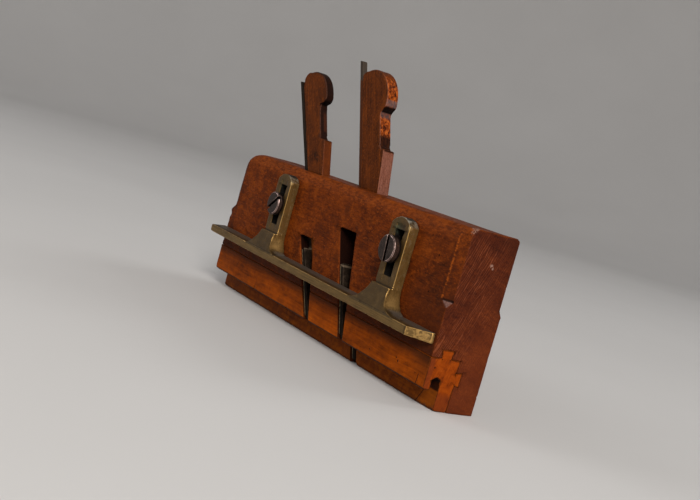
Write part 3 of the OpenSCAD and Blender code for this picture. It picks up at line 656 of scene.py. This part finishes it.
    # worn arrises with a painted highlight: lighter only where they face the toe
    bright_edge = T.mul(T.span(T.add(edge, T.mul(en, 1.1)), 0.7, 1.5, 1.0, 0.0), T.span(nx, 0.10, 0.45, 0.05, 0.6))
    bright_edge = T.mul(bright_edge, T.mul(T.span(ny, -0.10, -0.35), T.span(nz, -0.35, -0.05)))
    bright_edge = T.mul(bright_edge, T.span(en, 0.38, 0.60, 0.25 if front else 0.10, 0.9 if front else 0.5))
    col = T.mix(bright_edge, col, (0.30, 0.115, 0.066))
    nrm = T.bump(T.add(T.mul(streak, 0.5), T.mul(fine, 0.4)), 0.45, 0.00022)
    rough = T.span(T.add(T.mul(blot, 0.6), T.mul(fine, 0.4)), 0.3, 0.75, 0.30, 0.48)
    return T.finish(col, rough, nrm, Specular_IOR_Level=0.03)


# ---------------------------------------------------------------- metals
def brass():
    T = Tree("brass")
    p = T.mm(); x, y, z = T.sep(p)
    nx, ny, nz = T.normal()
    edge = T.attr("edge"); nook = T.attr("nook")
    n1 = T.noise(p, 0.12, 5, 0.62, 0.7)
    n2 = T.noise(T.vadd(p, (5, 9, 2)), 0.45, 5, 0.65, 0.5)
    n3 = T.noise(T.vadd(p, (15, 4, 2)), 1.9, 3, 0.6)
    filex = T.noise(T.comb(T.mul(x, 0.10), T.mul(y, 2.2), T.mul(z, 3.4)), 1.0, 3, 0.6)
    filez = T.noise(T.comb(T.mul(x, 3.2), T.mul(y, 2.2), T.mul(z, 0.12)), 1.0, 3, 0.6)
    cross = T.noise(T.comb(T.mul(T.add(x, T.mul(z, 0.7)), 2.6), T.mul(y, 1.0), T.mul(T.sub(z, T.mul(x, 0.3)), 0.35)), 1.0, 2, 0.6)
    legs = T.span(z, 40, 46)
    file = T.mixf(legs, filex, filez)
    tarn = T.ramp(T.span(T.add(T.mul(n1, 0.6), T.add(T.mul(n2, 0.35), T.mul(file, 0.25))), 0.40, 0.85, smooth=False), [
        (0.0, (0.030, 0.017, 0.0060)), (0.35, (0.060, 0.034, 0.0105)), (0.65, (0.092, 0.053, 0.0165)), (1.0, (0.15, 0.092, 0.034))])
    grey = T.mul(T.span(T.add(T.mul(n2, 0.7), T.mul(n3, 0.3)), 0.56, 0.70), T.span(ny, -0.55, -0.9, 0.35, 1.0))
    tarn = T.mix(T.mul(grey, 0.40), tarn, (0.125, 0.098, 0.064))
    bare = (0.78, 0.46, 0.155)
    bright_edge = T.span(T.add(edge, T.mul(n2, 0.8)), 0.42, 0.85, 1.0, 0.0)
    # brighter where they face the toe: a painted highlight on the worn arrises
    bright_edge = T.mul(bright_edge, T.span(nx, -0.3, 0.45, 0.22, 1.0))
    slot_f = T.mul(T.span(T.m("ABSOLUTE", T.sub(x, 75.65)), 4.6, 4.0), T.span(z, 51, 53))
    slot_r = T.mul(T.span(T.m("ABSOLUTE", T.sub(x, -50.65)), 4.6, 4.0), T.span(z, 51, 53))
    slots = T.m("MAXIMUM", slot_f, slot_r)
    bright_edge = T.mul(bright_edge, T.span(slots, 0.0, 1.0, 1.0, 0.12))
    bright_edge = T.mul(bright_edge, T.span(z, 38.6, 38.0, 0.55, 1.0))
    toe_arris = T.mul(T.span(T.add(edge, T.mul(n2, 0.6)), 0.5, 0.95, 1.0, 0.0), T.span(ny, -0.1, -0.35))
    toe_arris = T.mul(toe_arris, T.mul(T.span(z, 42, 44), T.sub(1.0, slots)))
    toe_arris = T.mul(toe_arris, T.m("MAXIMUM", T.span(T.m("ABSOLUTE", T.sub(x, 83.6)), 1.6, 0.9),
                                     T.span(T.m("ABSOLUTE", T.sub(x, -42.6)), 1.6, 0.9)))
    bright_edge = T.m("MAXIMUM", bright_edge, toe_arris)
    fl = T.m("MAXIMUM", T.mul(T.span(x, 82.0, 83.0), T.span(x, 98.0, 96.0)), T.mul(T.span(x, -44.3, -43.3), T.span(x, -28.3, -30.3)))
    fl = T.mul(fl, T.mul(T.span(z, 37.2, 38.2), T.span(z, 45.8, 43.6)))
    bright_edge = T.mul(bright_edge, T.sub(1.0, T.mul(fl, 0.9)))
    # painted highlight: bare gold on the faces turned to the toe
    right_face_highlight = T.mul(T.span(nx, 0.3, 0.75), T.span(T.add(T.mul(n1, 0.5), T.mul(file, 0.5)), 0.36, 0.62))
    right_face_highlight = T.mul(T.mul(right_face_highlight, T.mixf(fl, 0.30, 0.20)), T.sub(1.0, slots))
    # painted highlight: the clip's end, turned to the toe, is made bare gold
    clip = T.mul(T.mul(T.span(x, 107, 109), T.span(nx, 0.35, 0.5)), T.span(n2, 0.42, 0.62, 0.16, 0.62))
    clip = T.mul(clip, T.span(z, 39.5, 38.5))
    clip_rim = T.mul(T.mul(T.span(x, 107, 109), T.span(nx, 0.25, 0.45)), T.span(T.add(edge, T.mul(n2, 0.6)), 0.40, 0.80, 0.9, 0.0))
    clip = T.m("MAXIMUM", clip, clip_rim)
    # bare metal from wear, and from the painted highlights
    wear_and_highlight = T.m("MAXIMUM", T.m("MAXIMUM", bright_edge, right_face_highlight), clip)
    col = T.mix(wear_and_highlight, tarn, bare)
    # a painted glint at the corner where each leg's round top begins, and painted pale reflections on the round
    for cx in (75.65, -50.65):
        corner_glint = T.mul(T.span(T.dist(p, (cx + 8.2, -22.9, 80.2)), 0.5, 1.9, 1.0, 0.0), T.span(T.add(nx, T.mul(ny, -1.0)), 0.3, 0.8))
        col = T.mix(T.mul(corner_glint, 0.8), col, (1.0, 0.70, 0.30))
        cap_reflection = T.mul(T.mul(T.span(T.sub(x, cx), 1.0, 3.0), T.span(nz, 0.25, 0.5)), T.mul(T.span(z, 78, 80), T.span(n2, 0.40, 0.58)))
        col = T.mix(T.mul(cap_reflection, 0.75), col, (0.34, 0.31, 0.25))
    col = T.mix(T.mul(T.mul(fl, T.span(nx, 0.2, 0.5)), T.span(filez, 0.56, 0.40, 0.0, 0.75)), col, (0.045, 0.026, 0.009))
    round_top = T.mul(T.span(nz, 0.3, 0.55), T.span(z, 80, 81))
    col = T.mix(T.mul(round_top, T.span(n2, 0.52, 0.40, 0.0, 0.75)), col, (0.020, 0.015, 0.009))
    # painted light: warmer, brighter gold on the faces turned to the toe
    warm = T.mul(T.span(nx, 0.45, 0.8), T.span(z, 38, 41))
    col = T.mix(T.mul(warm, T.span(n3, 0.35, 0.6, 0.35, 0.65)), col, (0.215, 0.118, 0.032))
    # painted sheen: pale grey-gold patches on the toe-facing faces above the webs
    pale = T.mul(T.mul(T.span(nx, 0.45, 0.8), T.span(z, 47, 50)), T.span(T.add(T.mul(n2, 0.65), T.mul(n3, 0.35)), 0.52, 0.66))
    col = T.mix(T.mul(pale, 0.42), col, (0.33, 0.28, 0.18))
    strip = T.mul(T.mul(T.span(z, 37.3, 36.6), T.span(ny, -0.8, -0.95)), T.span(x, 108, 106))
    col = T.mix(T.mul(strip, T.span(file, 0.4, 0.62, 0.25, 0.62)), col, (0.24, 0.142, 0.042))
    face = T.mul(T.span(z, 47.5, 49.5), T.span(ny, -0.8, -0.95))
    col = T.mix(T.mul(face, 0.40), col, (0.125, 0.070, 0.022))
    scr = T.span(cross, 0.70, 0.76)
    col = T.mix(T.mul(scr, 0.35), col, (0.36, 0.27, 0.13))
    # painted shade in the nooks, less on faces turned to the toe, and in the slots
    dark = T.mul(T.span(T.add(nook, T.mul(n3, 0.8)), 0.5, 1.4, 1.0, 0.0), T.span(nx, 0.35, 0.7, 0.8, 0.15))
    dark = T.m("MAXIMUM", dark, T.mul(T.mul(slots, T.span(T.add(y, 23.3), 0.2, 1.2)), 0.9))
    col = T.mix(dark, col, (0.012, 0.009, 0.005))
    # painted shade: near-black inside the slots
    slot_hole_shade = T.mul(T.mul(slots, T.span(z, 78.6, 77.6)), T.span(y, -23.0, -22.5))
    col = T.mix(T.mul(slot_hole_shade, 0.97), col, (0.0035, 0.0025, 0.0018))
    # painted reflection: a pale grey strip on the shelf's top beside the stock
    top = T.mul(T.mul(T.span(nz, 0.7, 0.9), T.span(z, 40, 39.2)), T.span(T.add(y, T.mul(n2, 3.0)), -24.0, -21.0))
    col = T.mix(T.mul(top, 0.5), col, (0.16, 0.135, 0.115))
    low = T.mul(T.span(n3, 0.60, 0.74), T.sub(1.0, wear_and_highlight))
    col = T.mix(T.mul(low, 0.55), col, (0.040, 0.028, 0.014))
    # verdigris round the tops of the slots and at the toe tip
    vg = T.m("MAXIMUM", T.m("MAXIMUM", T.span(T.dist(p, (73.2, -22.4, 78.6)), 1.6, 4.6, 1.0, 0.0),
                           T.span(T.dist(p, (118.8, -20, 37.6)), 0.5, 3.2, 1.0, 0.0)),
             T.mul(T.span(T.dist(p, (-54.0, -23.2, 78.0)), 1.5, 4.6, 1.0, 0.0), 0.4))
    vg = T.mul(vg, T.span(n2, 0.40, 0.56))
    col = T.mix(T.mul(vg, 0.5), col, (0.046, 0.070, 0.040))
    metal = T.mixf(wear_and_highlight, 0.60, 1.0)
    dark = T.m("MAXIMUM", dark, slot_hole_shade)
    metal = T.mixf(T.m("MAXIMUM", dark, vg), metal, 0.25)
    rough = T.mixf(wear_and_highlight, T.span(T.add(n2, T.mul(n3, 0.3)), 0.4, 0.9, 0.42, 0.62), 0.34)
    rough = T.m("ADD", rough, T.mul(fl, 0.12), clamp=True)
    rough = T.m("ADD", rough, T.mul(T.m("MAXIMUM", dark, vg), 0.25), clamp=True)
    h = T.add(T.mul(file, 0.5), T.add(T.mul(n3, 0.28), T.mul(n2, 0.4)))
    h = T.sub(h, T.mul(scr, 0.35))
    nrm = T.bump(h, 0.45, 0.00022)
    T.put(T.bsdf.inputs["Metallic"], metal)
    return T.finish(col, rough, nrm, Specular_IOR_Level=0.25)


def iron():
    T = Tree("iron_steel")
    p = T.mm(); x, y, z = T.sep(p)
    nx, ny, nz = T.normal()
    edge = T.attr("edge")
    n1 = T.noise(p, 0.15, 5, 0.65, 0.6)
    n2 = T.noise(T.vadd(p, (5, 9, 2)), 0.7, 5, 0.65, 0.4)
    n3 = T.noise(p, 2.4, 3, 0.6)
    col = T.ramp(T.span(T.add(T.mul(n1, 0.55), T.mul(n2, 0.5)), 0.36, 0.72, smooth=False), [
        (0.0, (0.010, 0.006, 0.004)), (0.4, (0.022, 0.0145, 0.0095)), (0.7, (0.038, 0.026, 0.018)), (1.0, (0.070, 0.050, 0.036))])
    rust = T.span(T.add(T.mul(n2, 0.6), T.mul(n3, 0.4)), 0.55, 0.68)
    col = T.mix(T.mul(rust, 0.55), col, (0.055, 0.022, 0.009))
    bright_edge = T.mul(T.span(T.add(edge, T.mul(n2, 0.9)), 0.45, 0.85, 1.0, 0.0), T.span(n1, 0.42, 0.62, 0.06, 0.35))
    bright_edge = T.mul(bright_edge, T.span(z, 90, 88))
    bright_edge = T.m("MAXIMUM", bright_edge, T.mul(T.mul(T.span(T.m("ABSOLUTE", T.sub(z, 47.4)), 0.25, 0.7, 1.0, 0.0), T.span(y, -6, -8)), 0.6))
    col = T.mix(bright_edge, col, (0.24, 0.17, 0.11))
    # inside the escapements the near faces are painted almost black as shade, with a bare line along the bed, which is
    # also a painted highlight
    side = T.mul(T.span(ny, -0.4, -0.8), T.span(z, 47.2, 46.6))
    drop = T.sub(90.0, z)
    across = T.mul(T.sub(T.sub(x, 0.4), T.mul(drop, 0.4986)), 0.895)
    across2 = T.mul(T.sub(T.add(x, 51.9), T.mul(drop, 0.6745)), 0.829)
    line = T.m("MAXIMUM", T.span(T.m("ABSOLUTE", T.sub(across, 0.5)), 0.15, 0.50, 1.0, 0.0),
               T.span(T.m("ABSOLUTE", T.sub(across2, 0.5)), 0.15, 0.50, 1.0, 0.0))
    col = T.mix(T.mul(side, T.span(z, 40, 34, 0.55, 0.90)), col, T.mix(T.span(n2, 0.45, 0.65), (0.0030, 0.0016, 0.0010), (0.012, 0.0070, 0.0035)))
    line = T.mul(T.mul(side, line), T.span(n2, 0.38, 0.58, 0.30, 1.0))
    col = T.mix(line, col, (0.26, 0.19, 0.105))
    rust = T.m("MAXIMUM", rust, T.mul(side, T.sub(0.85, line)))
    # the tang of the front iron is rusted brown along its near edge, and rubbed above the wedge
    tang = T.mul(T.mul(T.span(z, 88, 91), T.span(z, 149.6, 148.0)), T.mul(T.span(ny, -0.35, -0.7), T.span(y, -9, -8)))
    tang = T.mul(tang, T.span(nx, -0.35, -0.1))
    col = T.mix(T.mul(tang, 0.9), col, T.mix(n2, (0.040, 0.0115, 0.004), (0.115, 0.030, 0.008)))
    front = T.span(x, -43, -41)
    col = T.mix(T.mul(T.mul(T.span(z, 88, 91), front), T.sub(0.22, T.mul(tang, 0.22))), col, (0.085, 0.070, 0.060))
    col = T.mix(T.mul(T.mul(T.span(z, 88, 91), T.sub(1.0, front)), 0.65), col, (0.010, 0.0058, 0.0032))
    bare = T.mul(T.mul(T.span(z, 147.5, 149.5), T.span(y, -9, -8)), T.span(nx, -0.2, 0.2))
    col = T.mix(T.mul(bare, 0.6), col, (0.085, 0.064, 0.049))
    rust = T.m("MAXIMUM", rust, tang)
    metal = T.mixf(rust, 0.40, 0.10)
    rough = T.mixf(bright_edge, T.span(n2, 0.35, 0.7, 0.52, 0.70), 0.42)
    nrm = T.bump(T.add(T.mul(n3, 0.5), T.mul(n2, 0.7)), 0.6, 0.0003)
    T.put(T.bsdf.inputs["Metallic"], metal)
    return T.finish(col, rough, nrm, Specular_IOR_Level=0.04)


def screw_steel(name, ax, az, face, r):
    """Dark turned steel, with faint rings round the screw's axis at (ax, az); face is the y of the head's
    front and r its radius."""
    T = Tree(name)
    p = T.mm(); x, y, z = T.sep(p)
    nx, ny, nz = T.normal()
    edge = T.attr("edge")
    dx = T.sub(x, ax); dz = T.sub(z, az)
    rad = T.m("SQRT", T.add(T.mul(dx, dx), T.mul(dz, dz)))
    rings = T.noise(T.comb(T.mul(rad, 3.4), T.mul(y, 3.4), 0.0), 1.0, 2, 0.6)
    n2 = T.noise(p, 0.6, 5, 0.65, 0.5)
    n3 = T.noise(p, 2.8, 3, 0.6)
    col = T.ramp(T.span(T.add(T.mul(n2, 0.6), T.add(T.mul(rings, 0.25), T.mul(n3, 0.25))), 0.40, 0.72, smooth=False), [
        (0.0, (0.012, 0.0075, 0.006)), (0.45, (0.030, 0.020, 0.016)), (0.8, (0.058, 0.040, 0.033)), (1.0, (0.10, 0.072, 0.060))])
    # the face is brushed across; the head's side to the toe has a painted sheen, the rim's side to the toe a painted
    # highlight
    brush = T.noise(T.comb(T.mul(T.add(x, T.mul(z, 0.16)), 4.6), T.mul(y, 0.8), T.mul(z, 0.5)), 1.0, 3, 0.6)
    col = T.mix(T.mul(T.span(brush, 0.45, 0.7), T.span(ny, -0.7, -0.9, 0.0, 0.5)), col, (0.075, 0.052, 0.042))
    # painted sheen: the head's side turned to the toe is made pinkish-brown
    skirt_sheen = T.mul(T.span(nx, 0.25, 0.7), T.span(T.add(rings, T.mul(n3, 0.4)), 0.5, 0.85, 0.35, 1.0))
    col = T.mix(T.mul(skirt_sheen, T.span(n3, 0.4, 0.6, 0.25, 0.75)), col, (0.17, 0.105, 0.082))
    # painted highlight: a bright line on the rim, on its side to the toe
    bright_edge = T.mul(T.span(T.add(edge, T.mul(n2, 0.5)), 0.28, 0.50, 1.0, 0.0), T.span(T.add(dx, T.mul(dz, 0.45)), -2.0, 1.5, 0.12, 0.9))
    col = T.mix(bright_edge, col, (0.74, 0.52, 0.46))
    rust = T.span(n3, 0.60, 0.74)
    col = T.mix(T.mul(rust, 0.5), col, (0.045, 0.020, 0.011))
    # painted shadow: near-black where the head sits against the brass
    base = T.span(T.add(y, T.mul(n3, 0.5)), -25.0, -24.2)
    col = T.mix(T.mul(base, 0.93), col, (0.008, 0.0055, 0.0045))
    # painted shade: near-black in the screwdriver slot
    slot = T.mul(T.span(y, face + 0.30, face + 0.55), T.span(rad, r - 0.35, r - 0.75))
    col = T.mix(T.mul(slot, 0.97), col, (0.0035, 0.0025, 0.002))
    rough = T.mixf(bright_edge, T.span(n2, 0.35, 0.7, 0.36, 0.55), 0.30)
    nrm = T.bump(T.add(T.mul(rings, 0.5), T.add(T.mul(n3, 0.3), T.mul(n2, 0.4))), 0.5, 0.0002)
    return T.finish(col, rough, nrm, Metallic=0.75, Specular_IOR_Level=0.2)


# ---------------------------------------------------------------- pieces
def chips(co, spots):
    d = np.zeros(len(co))
    for x, y, z, r, depth in spots:
        q = np.linalg.norm(co - np.array([x, y, z]), axis=1)
        d = np.maximum(d, depth * smooth01(1.3 * (1 - q / r)))
    return d


def stock_radius(e):
    x, y, z = e[:, 0], e[:, 1], e[:, 2]
    r = 0.35 + 0.55 * vnoise(e, 0.07, 3, 2)
    r = np.where((np.abs(z - 83.8) < 0.5) & (np.abs(y) > 17), 12.0, r)              # the long chamfers blend in
    r = np.where((z > 89.5) & (y < -14.5), 2.0 + 1.2 * vnoise(e, 0.05, 6, 2), r)
    r = np.where((z > 89.5) & (y > 14.5), 2.6, r)
    r = np.where((np.abs(np.abs(x) - 115.65) < 0.6) & (y < -17) & (z > 54), 1.1, r)
    r = np.where((x < -103) & (z > 72), r + 0.9, r)
    corner = (np.abs(x) > 119) & (np.abs(y) > 17) & (z < 52)
    r = r + np.where(corner, 0.45, 0)
    inside = (np.abs(y) < 17.2) & (np.abs(x) < 119) & (z < 89)
    r = np.where((z < 33) & (y < 5), 0.28, r)
    mouth = (y < -17) & (np.abs(x) < 60) & (z > 27) & (z < 75)
    return np.where(inside | mouth, np.minimum(r, 0.35), r)


def stock_dig(co, nn, dist):
    x, y, z = co[:, 0], co[:, 1], co[:, 2]
    d = 0.12 * vnoise(co, 0.035, 5, 2) + 0.04 * vnoise(co, (0.05, 0.5, 0.5), 8, 2)
    rough_edge = smooth01(1 - dist / 1.4) * smooth01((vnoise(co, 0.5, 21, 3) - 0.60) / 0.16)
    outer = (np.abs(x) > 117) | (z > 89)
    d = d + np.where(outer, 0.30 * rough_edge, 0.0)
    # the far top arris is worn down along the middle
    worn_top = smooth01((x + 118) / 70) * smooth01((120 - x) / 22) * (0.75 + 0.5 * vnoise(co, 0.03, 9, 2))
    d = d + 1.15 * worn_top * smooth01((y - 8.5) / 5.5) * smooth01((z - 82) / 5)
    d = d + chips(co, [(120.4, -12.7, 89.9, 2.0, 0.7), (120.6, -14.3, 87.6, 1.2, 0.3), (120.6, 1.0, 89.9, 1.5, 0.5),
                       (120.6, 3.5, 89.9, 1.3, 0.45), (120.6, 5.8, 89.9, 1.6, 0.5), (120.6, 17.4, 60, 2.0, 0.3),
                       (52, -15.5, 89.6, 1.6, 0.35), (41, -16.1, 86.8, 1.1, 0.4),
                       (-120.4, -17.3, 47.0, 2.4, 0.5), (-120.5, -17, 30.0, 1.6, 0.3), (87, 16.5, 89.6, 3.0, 0.4),
                       (8, 16.2, 89.8, 3.5, 0.4), (120.5, -17.4, 44.5, 1.7, 0.45), (120.5, -17.2, 33.0, 1.6, 0.4)])
    return d


def stock_soft(co):
    """The near top chamfer and the heel's top corner are worn smooth."""
    x, y, z = co[:, 0], co[:, 1], co[:, 2]
    near = smooth01((-9.0 - y) / 4) * smooth01((z - 78.5) / 2.5)
    along = smooth01((112.5 - x) / 6)
    heel = smooth01((-101 - x) / 8) * smooth01((z - 66) / 8)
    slant = smooth01(1.5 - np.abs(np.abs(x) - 115.65) / 1.8) * smooth01((-15.8 - y) / 0.8) * smooth01((z - 54.5) / 1.5)
    return [(0.5 * near * along, 26), (0.5 * heel, 30), (0.5 * slant, 8)]


def boxing_radius(e):
    r = 0.20 + 0.20 * vnoise(e, 0.12, 13, 2)
    r = r + np.where((e[:, 2] < 1.6), 0.30 + 0.6 * smooth01((e[:, 0] - 100) / 20), 0)
    heel = (e[:, 0] < -119) & (e[:, 2] < 25)
    r = r + np.where(heel, 0.25, 0)
    return r


def boxing_dig(co, nn, dist):
    d = 0.08 * vnoise(co, 0.05, 15, 2) + 0.03 * vnoise(co, (0.05, 0.6, 0.6), 18, 2)
    rough_edge = smooth01(1 - dist / 1.0) * smooth01((vnoise(co, 0.5, 31, 3) - 0.60) / 0.16)
    d = d + 0.22 * rough_edge
    d = d + chips(co, [(94.2, -17.5, 17.6, 1.0, 0.35), (96.0, -17.5, 16.4, 1.1, 0.35), (-63, -17.5, 11.6, 1.6, 0.45),
                       (118.5, -7.6, 0.6, 3.2, 0.7), (113, -7.4, 0.4, 2.2, 0.4), (-119.5, -17.4, 11.2, 1.6, 0.4),
                       (-118.5, -8, 0.8, 1.6, 0.3), (-20, -17.4, 11.0, 1.6, 0.3), (60, -17.4, 11.0, 1.5, 0.25)])
    return d


def wedge_radius(e):
    r = 0.28 + 0.12 * vnoise(e, 0.2, 23, 2)
    return r + np.where(e[:, 1] < -5, 0.55, 0.15) * smooth01((e[:, 2] - 110) / 4)


def wedge_dig(co, nn, dist):
    return 0.07 * vnoise(co, 0.06, 25, 2) + 0.02 * vnoise(co, (0.7, 0.7, 0.05), 28, 2)


LEGS = (75.65, -50.65)


def brass_radius(e):
    r = 0.14 + 0.12 * vnoise(e, 0.3, 33, 2)
    for cx in LEGS:
        web = smooth01(1.6 - np.abs(e[:, 0] - (cx - 9.4)) / 3.5) * smooth01((e[:, 2] - 38) / 4) * (e[:, 2] < 49.2)
        r = r + 0.9 * web * (e[:, 1] < -23)
        slot_top = (np.abs(e[:, 0] - cx) < 4.2) & (e[:, 2] > 73) & (e[:, 2] < 79)
        r = np.where(slot_top, 0.9 if cx > 0 else 0.5, r)
        back = (e[:, 1] > -18) & (e[:, 2] > 36)
        r = np.where(back, 0.5, r)
    return np.where(e[:, 0] < -121, 1.1, r)


def brass_dig(co, nn, dist):
    x, y, z = co[:, 0], co[:, 1], co[:, 2]
    d = 0.06 * vnoise(co, 0.10, 35, 2) + 0.025 * vnoise(co, 0.5, 36, 2)
    nick = smooth01(1 - dist / 0.9) * smooth01((vnoise(co, 0.55, 37, 2) - 0.66) / 0.12)
    d = d + 0.18 * nick
    for cx in LEGS:
        scoop = np.linalg.norm((co - np.array([cx, -23.6, 79.3])) / np.array([4.6, 2.0, 2.6]), axis=1)
        d = d + (0.85 if cx > 0 else 0.35) * smooth01(1.2 * (1 - scoop))
    return d


def brass_shape(co):
    """The flare on the toe side is tighter at the front than against the stock."""
    x, y, z = co[:, 0], co[:, 1], co[:, 2]
    for cx in LEGS:
        v = np.clip(48.8 - z, 0, 12.1)
        wall = cx + 8.25 + 12.1 - np.sqrt(np.maximum(12.1 ** 2 - v ** 2, 0))
        pull = np.interp(z, [36.7, 37.4, 37.9, 38.7, 40.2, 42.1, 43.9, 46.2, 48.8],
                         [0, 0.64, 1.35, 2.3, 2.4, 1.75, 1.15, 0.75, 0])
        near = smooth01(1 - (wall - x) / 7.5) * (x > cx - 1) * (x < cx + 26)
        front = smooth01((-19.0 - y) / 7.0)
        co[:, 0] = co[:, 0] - pull * near * front
    return co


def brass_soft(co):
    """The webs run into the shelf's edge without a line."""
    x, y, z = co[:, 0], co[:, 1], co[:, 2]
    w = np.zeros(len(co))
    for cx in LEGS:
        reach = smooth01((x - (cx - 24)) / 4) * smooth01((cx + 18 - x) / 4)
        w = np.maximum(w, reach * smooth01((z - 33.6) / 2) * smooth01((42 - z) / 3) * smooth01((-24.6 - y) / 1.2))
        flare = smooth01((x - cx - 6) / 3) * smooth01((cx + 23 - x) / 3) * smooth01((z - 37.0) / 1.0) * smooth01((48.5 - z) / 2)
        w = np.maximum(w, 0.55 * flare * smooth01((-18.2 - y) / 1.5) * smooth01((y + 25.6) / 0.8))
    tip = smooth01((-117.5 - x) / 2.5)
    return [(0.5 * w, 22), (0.5 * tip, 5)]


def iron_radius(e):
    return 0.25 + 0.25 * vnoise(e, 0.25, 43, 2)


def iron_dig(co, nn, dist):
    return 0.08 * vnoise(co, 0.22, 45, 3) + 0.04 * vnoise(co, 0.9, 46, 2)


def screw_radius(e):
    return 0.14 + 0.10 * vnoise(e, 0.5, 53, 2)


def screw_dig(co, nn, dist):
    return 0.04 * vnoise(co, 0.4, 55, 3)


M_beech, M_box = beech(), boxwood()
M_fw = wedge_wood("front_wedge_wood", 0.46, True)
M_rw = wedge_wood("rear_wedge_wood", 0.62, False)
M_brass, M_iron = brass(), iron()
M_fs = screw_steel("screw_steel_front", 75.2, 67.3, -27.95, 7.1)
M_rs = screw_steel("screw_steel_rear", -50.7, 65.8, -27.45, 6.8)

jobs = [
    ("stock_worn", "stock", "body", "beech", 0.65, stock_radius, stock_dig, M_beech, None, stock_soft),
    ("boxing_worn", "boxing", "body", "boxwood", 0.5, boxing_radius, boxing_dig, M_box),
    ("front_wedge_worn", "front_wedge", "front_wedge", "wedge_wood", 0.38, wedge_radius, wedge_dig, M_fw),
    ("rear_wedge_worn", "rear_wedge", "rear_wedge", "wedge_wood", 0.38, wedge_radius, wedge_dig, M_rw),
    ("depth_stop_worn", "depth_stop", "depth_stop", "brass", 0.36, brass_radius, brass_dig, M_brass, brass_shape, brass_soft),
    ("front_iron_worn", "front_iron", "front_iron", "iron_steel", 0.34, iron_radius, iron_dig, M_iron),
    ("rear_iron_worn", "rear_iron", "rear_iron", "iron_steel", 0.34, iron_radius, iron_dig, M_iron),
    ("front_stop_screw_worn", "front_stop_screw", "front_stop_screw", "screw_steel", 0.2, screw_radius, screw_dig, M_fs),
    ("rear_stop_screw_worn", "rear_stop_screw", "rear_stop_screw", "screw_steel", 0.2, screw_radius, screw_dig, M_rs),
    ("front_screw_nut_worn", "front_screw_nut", "body", "screw_steel", 0.3, screw_radius, screw_dig, M_fs),
    ("rear_screw_nut_worn", "rear_screw_nut", "body", "screw_steel", 0.3, screw_radius, screw_dig, M_rs),
]
for name, node, body, slot, voxel, rad, dig, mat, *more in jobs:
    ob = worn(name, node, body, slot, voxel, rad, dig, *more)
    ob.data.materials.clear(); ob.data.materials.append(mat)

# the CAD nodes stay unseen, but carry the same finishes
FIN = {"stock": M_beech, "boxing": M_box, "front_wedge": M_fw, "rear_wedge": M_rw, "depth_stop": M_brass,
       "front_iron": M_iron, "rear_iron": M_iron, "front_stop_screw": M_fs, "rear_stop_screw": M_rs,
       "front_screw_nut": M_fs, "rear_screw_nut": M_rs}
for n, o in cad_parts.items():
    o.data.materials.clear(); o.data.materials.append(FIN[n])


# ---------------------------------------------------------------- studio
def paper():
    T = Tree("paper_floor")
    p = T.mm()
    n = T.noise(p, 0.004, 3, 0.5)
    f = T.noise(p, 0.6, 3, 0.6)
    col = T.mix(n, (0.60, 0.585, 0.57), (0.66, 0.645, 0.63))
    return T.finish(col, 0.75, T.bump(f, 0.05, 0.0002), Specular_IOR_Level=0.25)


def bowl():
    """A round floor that turns up into a low backdrop on every side."""
    prof = [(0.0, 0.0), (0.5, 0.0), (1.2, 0.0), (2.0, 0.0)]
    for i in range(1, 13):
        a = math.radians(90 * i / 12)
        prof.append((2.0 + 1.2 * math.sin(a), 1.2 - 1.2 * math.cos(a)))
    prof.append((3.2, 2.2))
    bm = bmesh.new(); seg = 96; rings = []
    c = bm.verts.new((0, 0, -0.00002))
    for r, h in prof[1:]:
        rings.append([bm.verts.new((r * math.cos(2 * math.pi * k / seg), r * math.sin(2 * math.pi * k / seg), h - 0.00002)) for k in range(seg)])
    for k in range(seg):
        bm.faces.new((c, rings[0][k], rings[0][(k + 1) % seg]))
    for a, b in zip(rings, rings[1:]):
        for k in range(seg):
            bm.faces.new((a[k], b[k], b[(k + 1) % seg], a[(k + 1) % seg]))
    for f in bm.faces:
        f.smooth = True
    me = bpy.data.meshes.new("studio_floor"); bm.to_mesh(me); bm.free()
    ob = bpy.data.objects.new("studio_floor", me)
    scene.collection.objects.link(ob)
    me.materials.append(paper())


bowl()
w = bpy.data.worlds.new("w"); scene.world = w
w.use_nodes = True
w.node_tree.nodes["Background"].inputs[0].default_value = (0.80, 0.80, 0.82, 1)
w.node_tree.nodes["Background"].inputs[1].default_value = 0.24


def lamp(name, at, to, size, power, color=(1, 1, 1)):
    ld = bpy.data.lights.new(name, "AREA"); ld.energy = power; ld.size = size; ld.color = color
    lo = bpy.data.objects.new(name, ld); scene.collection.objects.link(lo)
    lo.location = at
    lo.rotation_euler = (Vector(to) - Vector(at)).to_track_quat("-Z", "Y").to_euler()


lamp("key", (1.75, -0.95, 1.25), (0, 0, 0.05), 0.8, 46, (1.0, 0.97, 0.93))
lamp("fill", (-1.3, -1.6, 1.0), (0, 0, 0.05), 1.2, 11, (0.97, 0.98, 1.0))
lamp("back", (0.2, 1.7, 1.4), (0, 0, 0.08), 1.0, 9)

scene.view_settings.view_transform = "Standard"
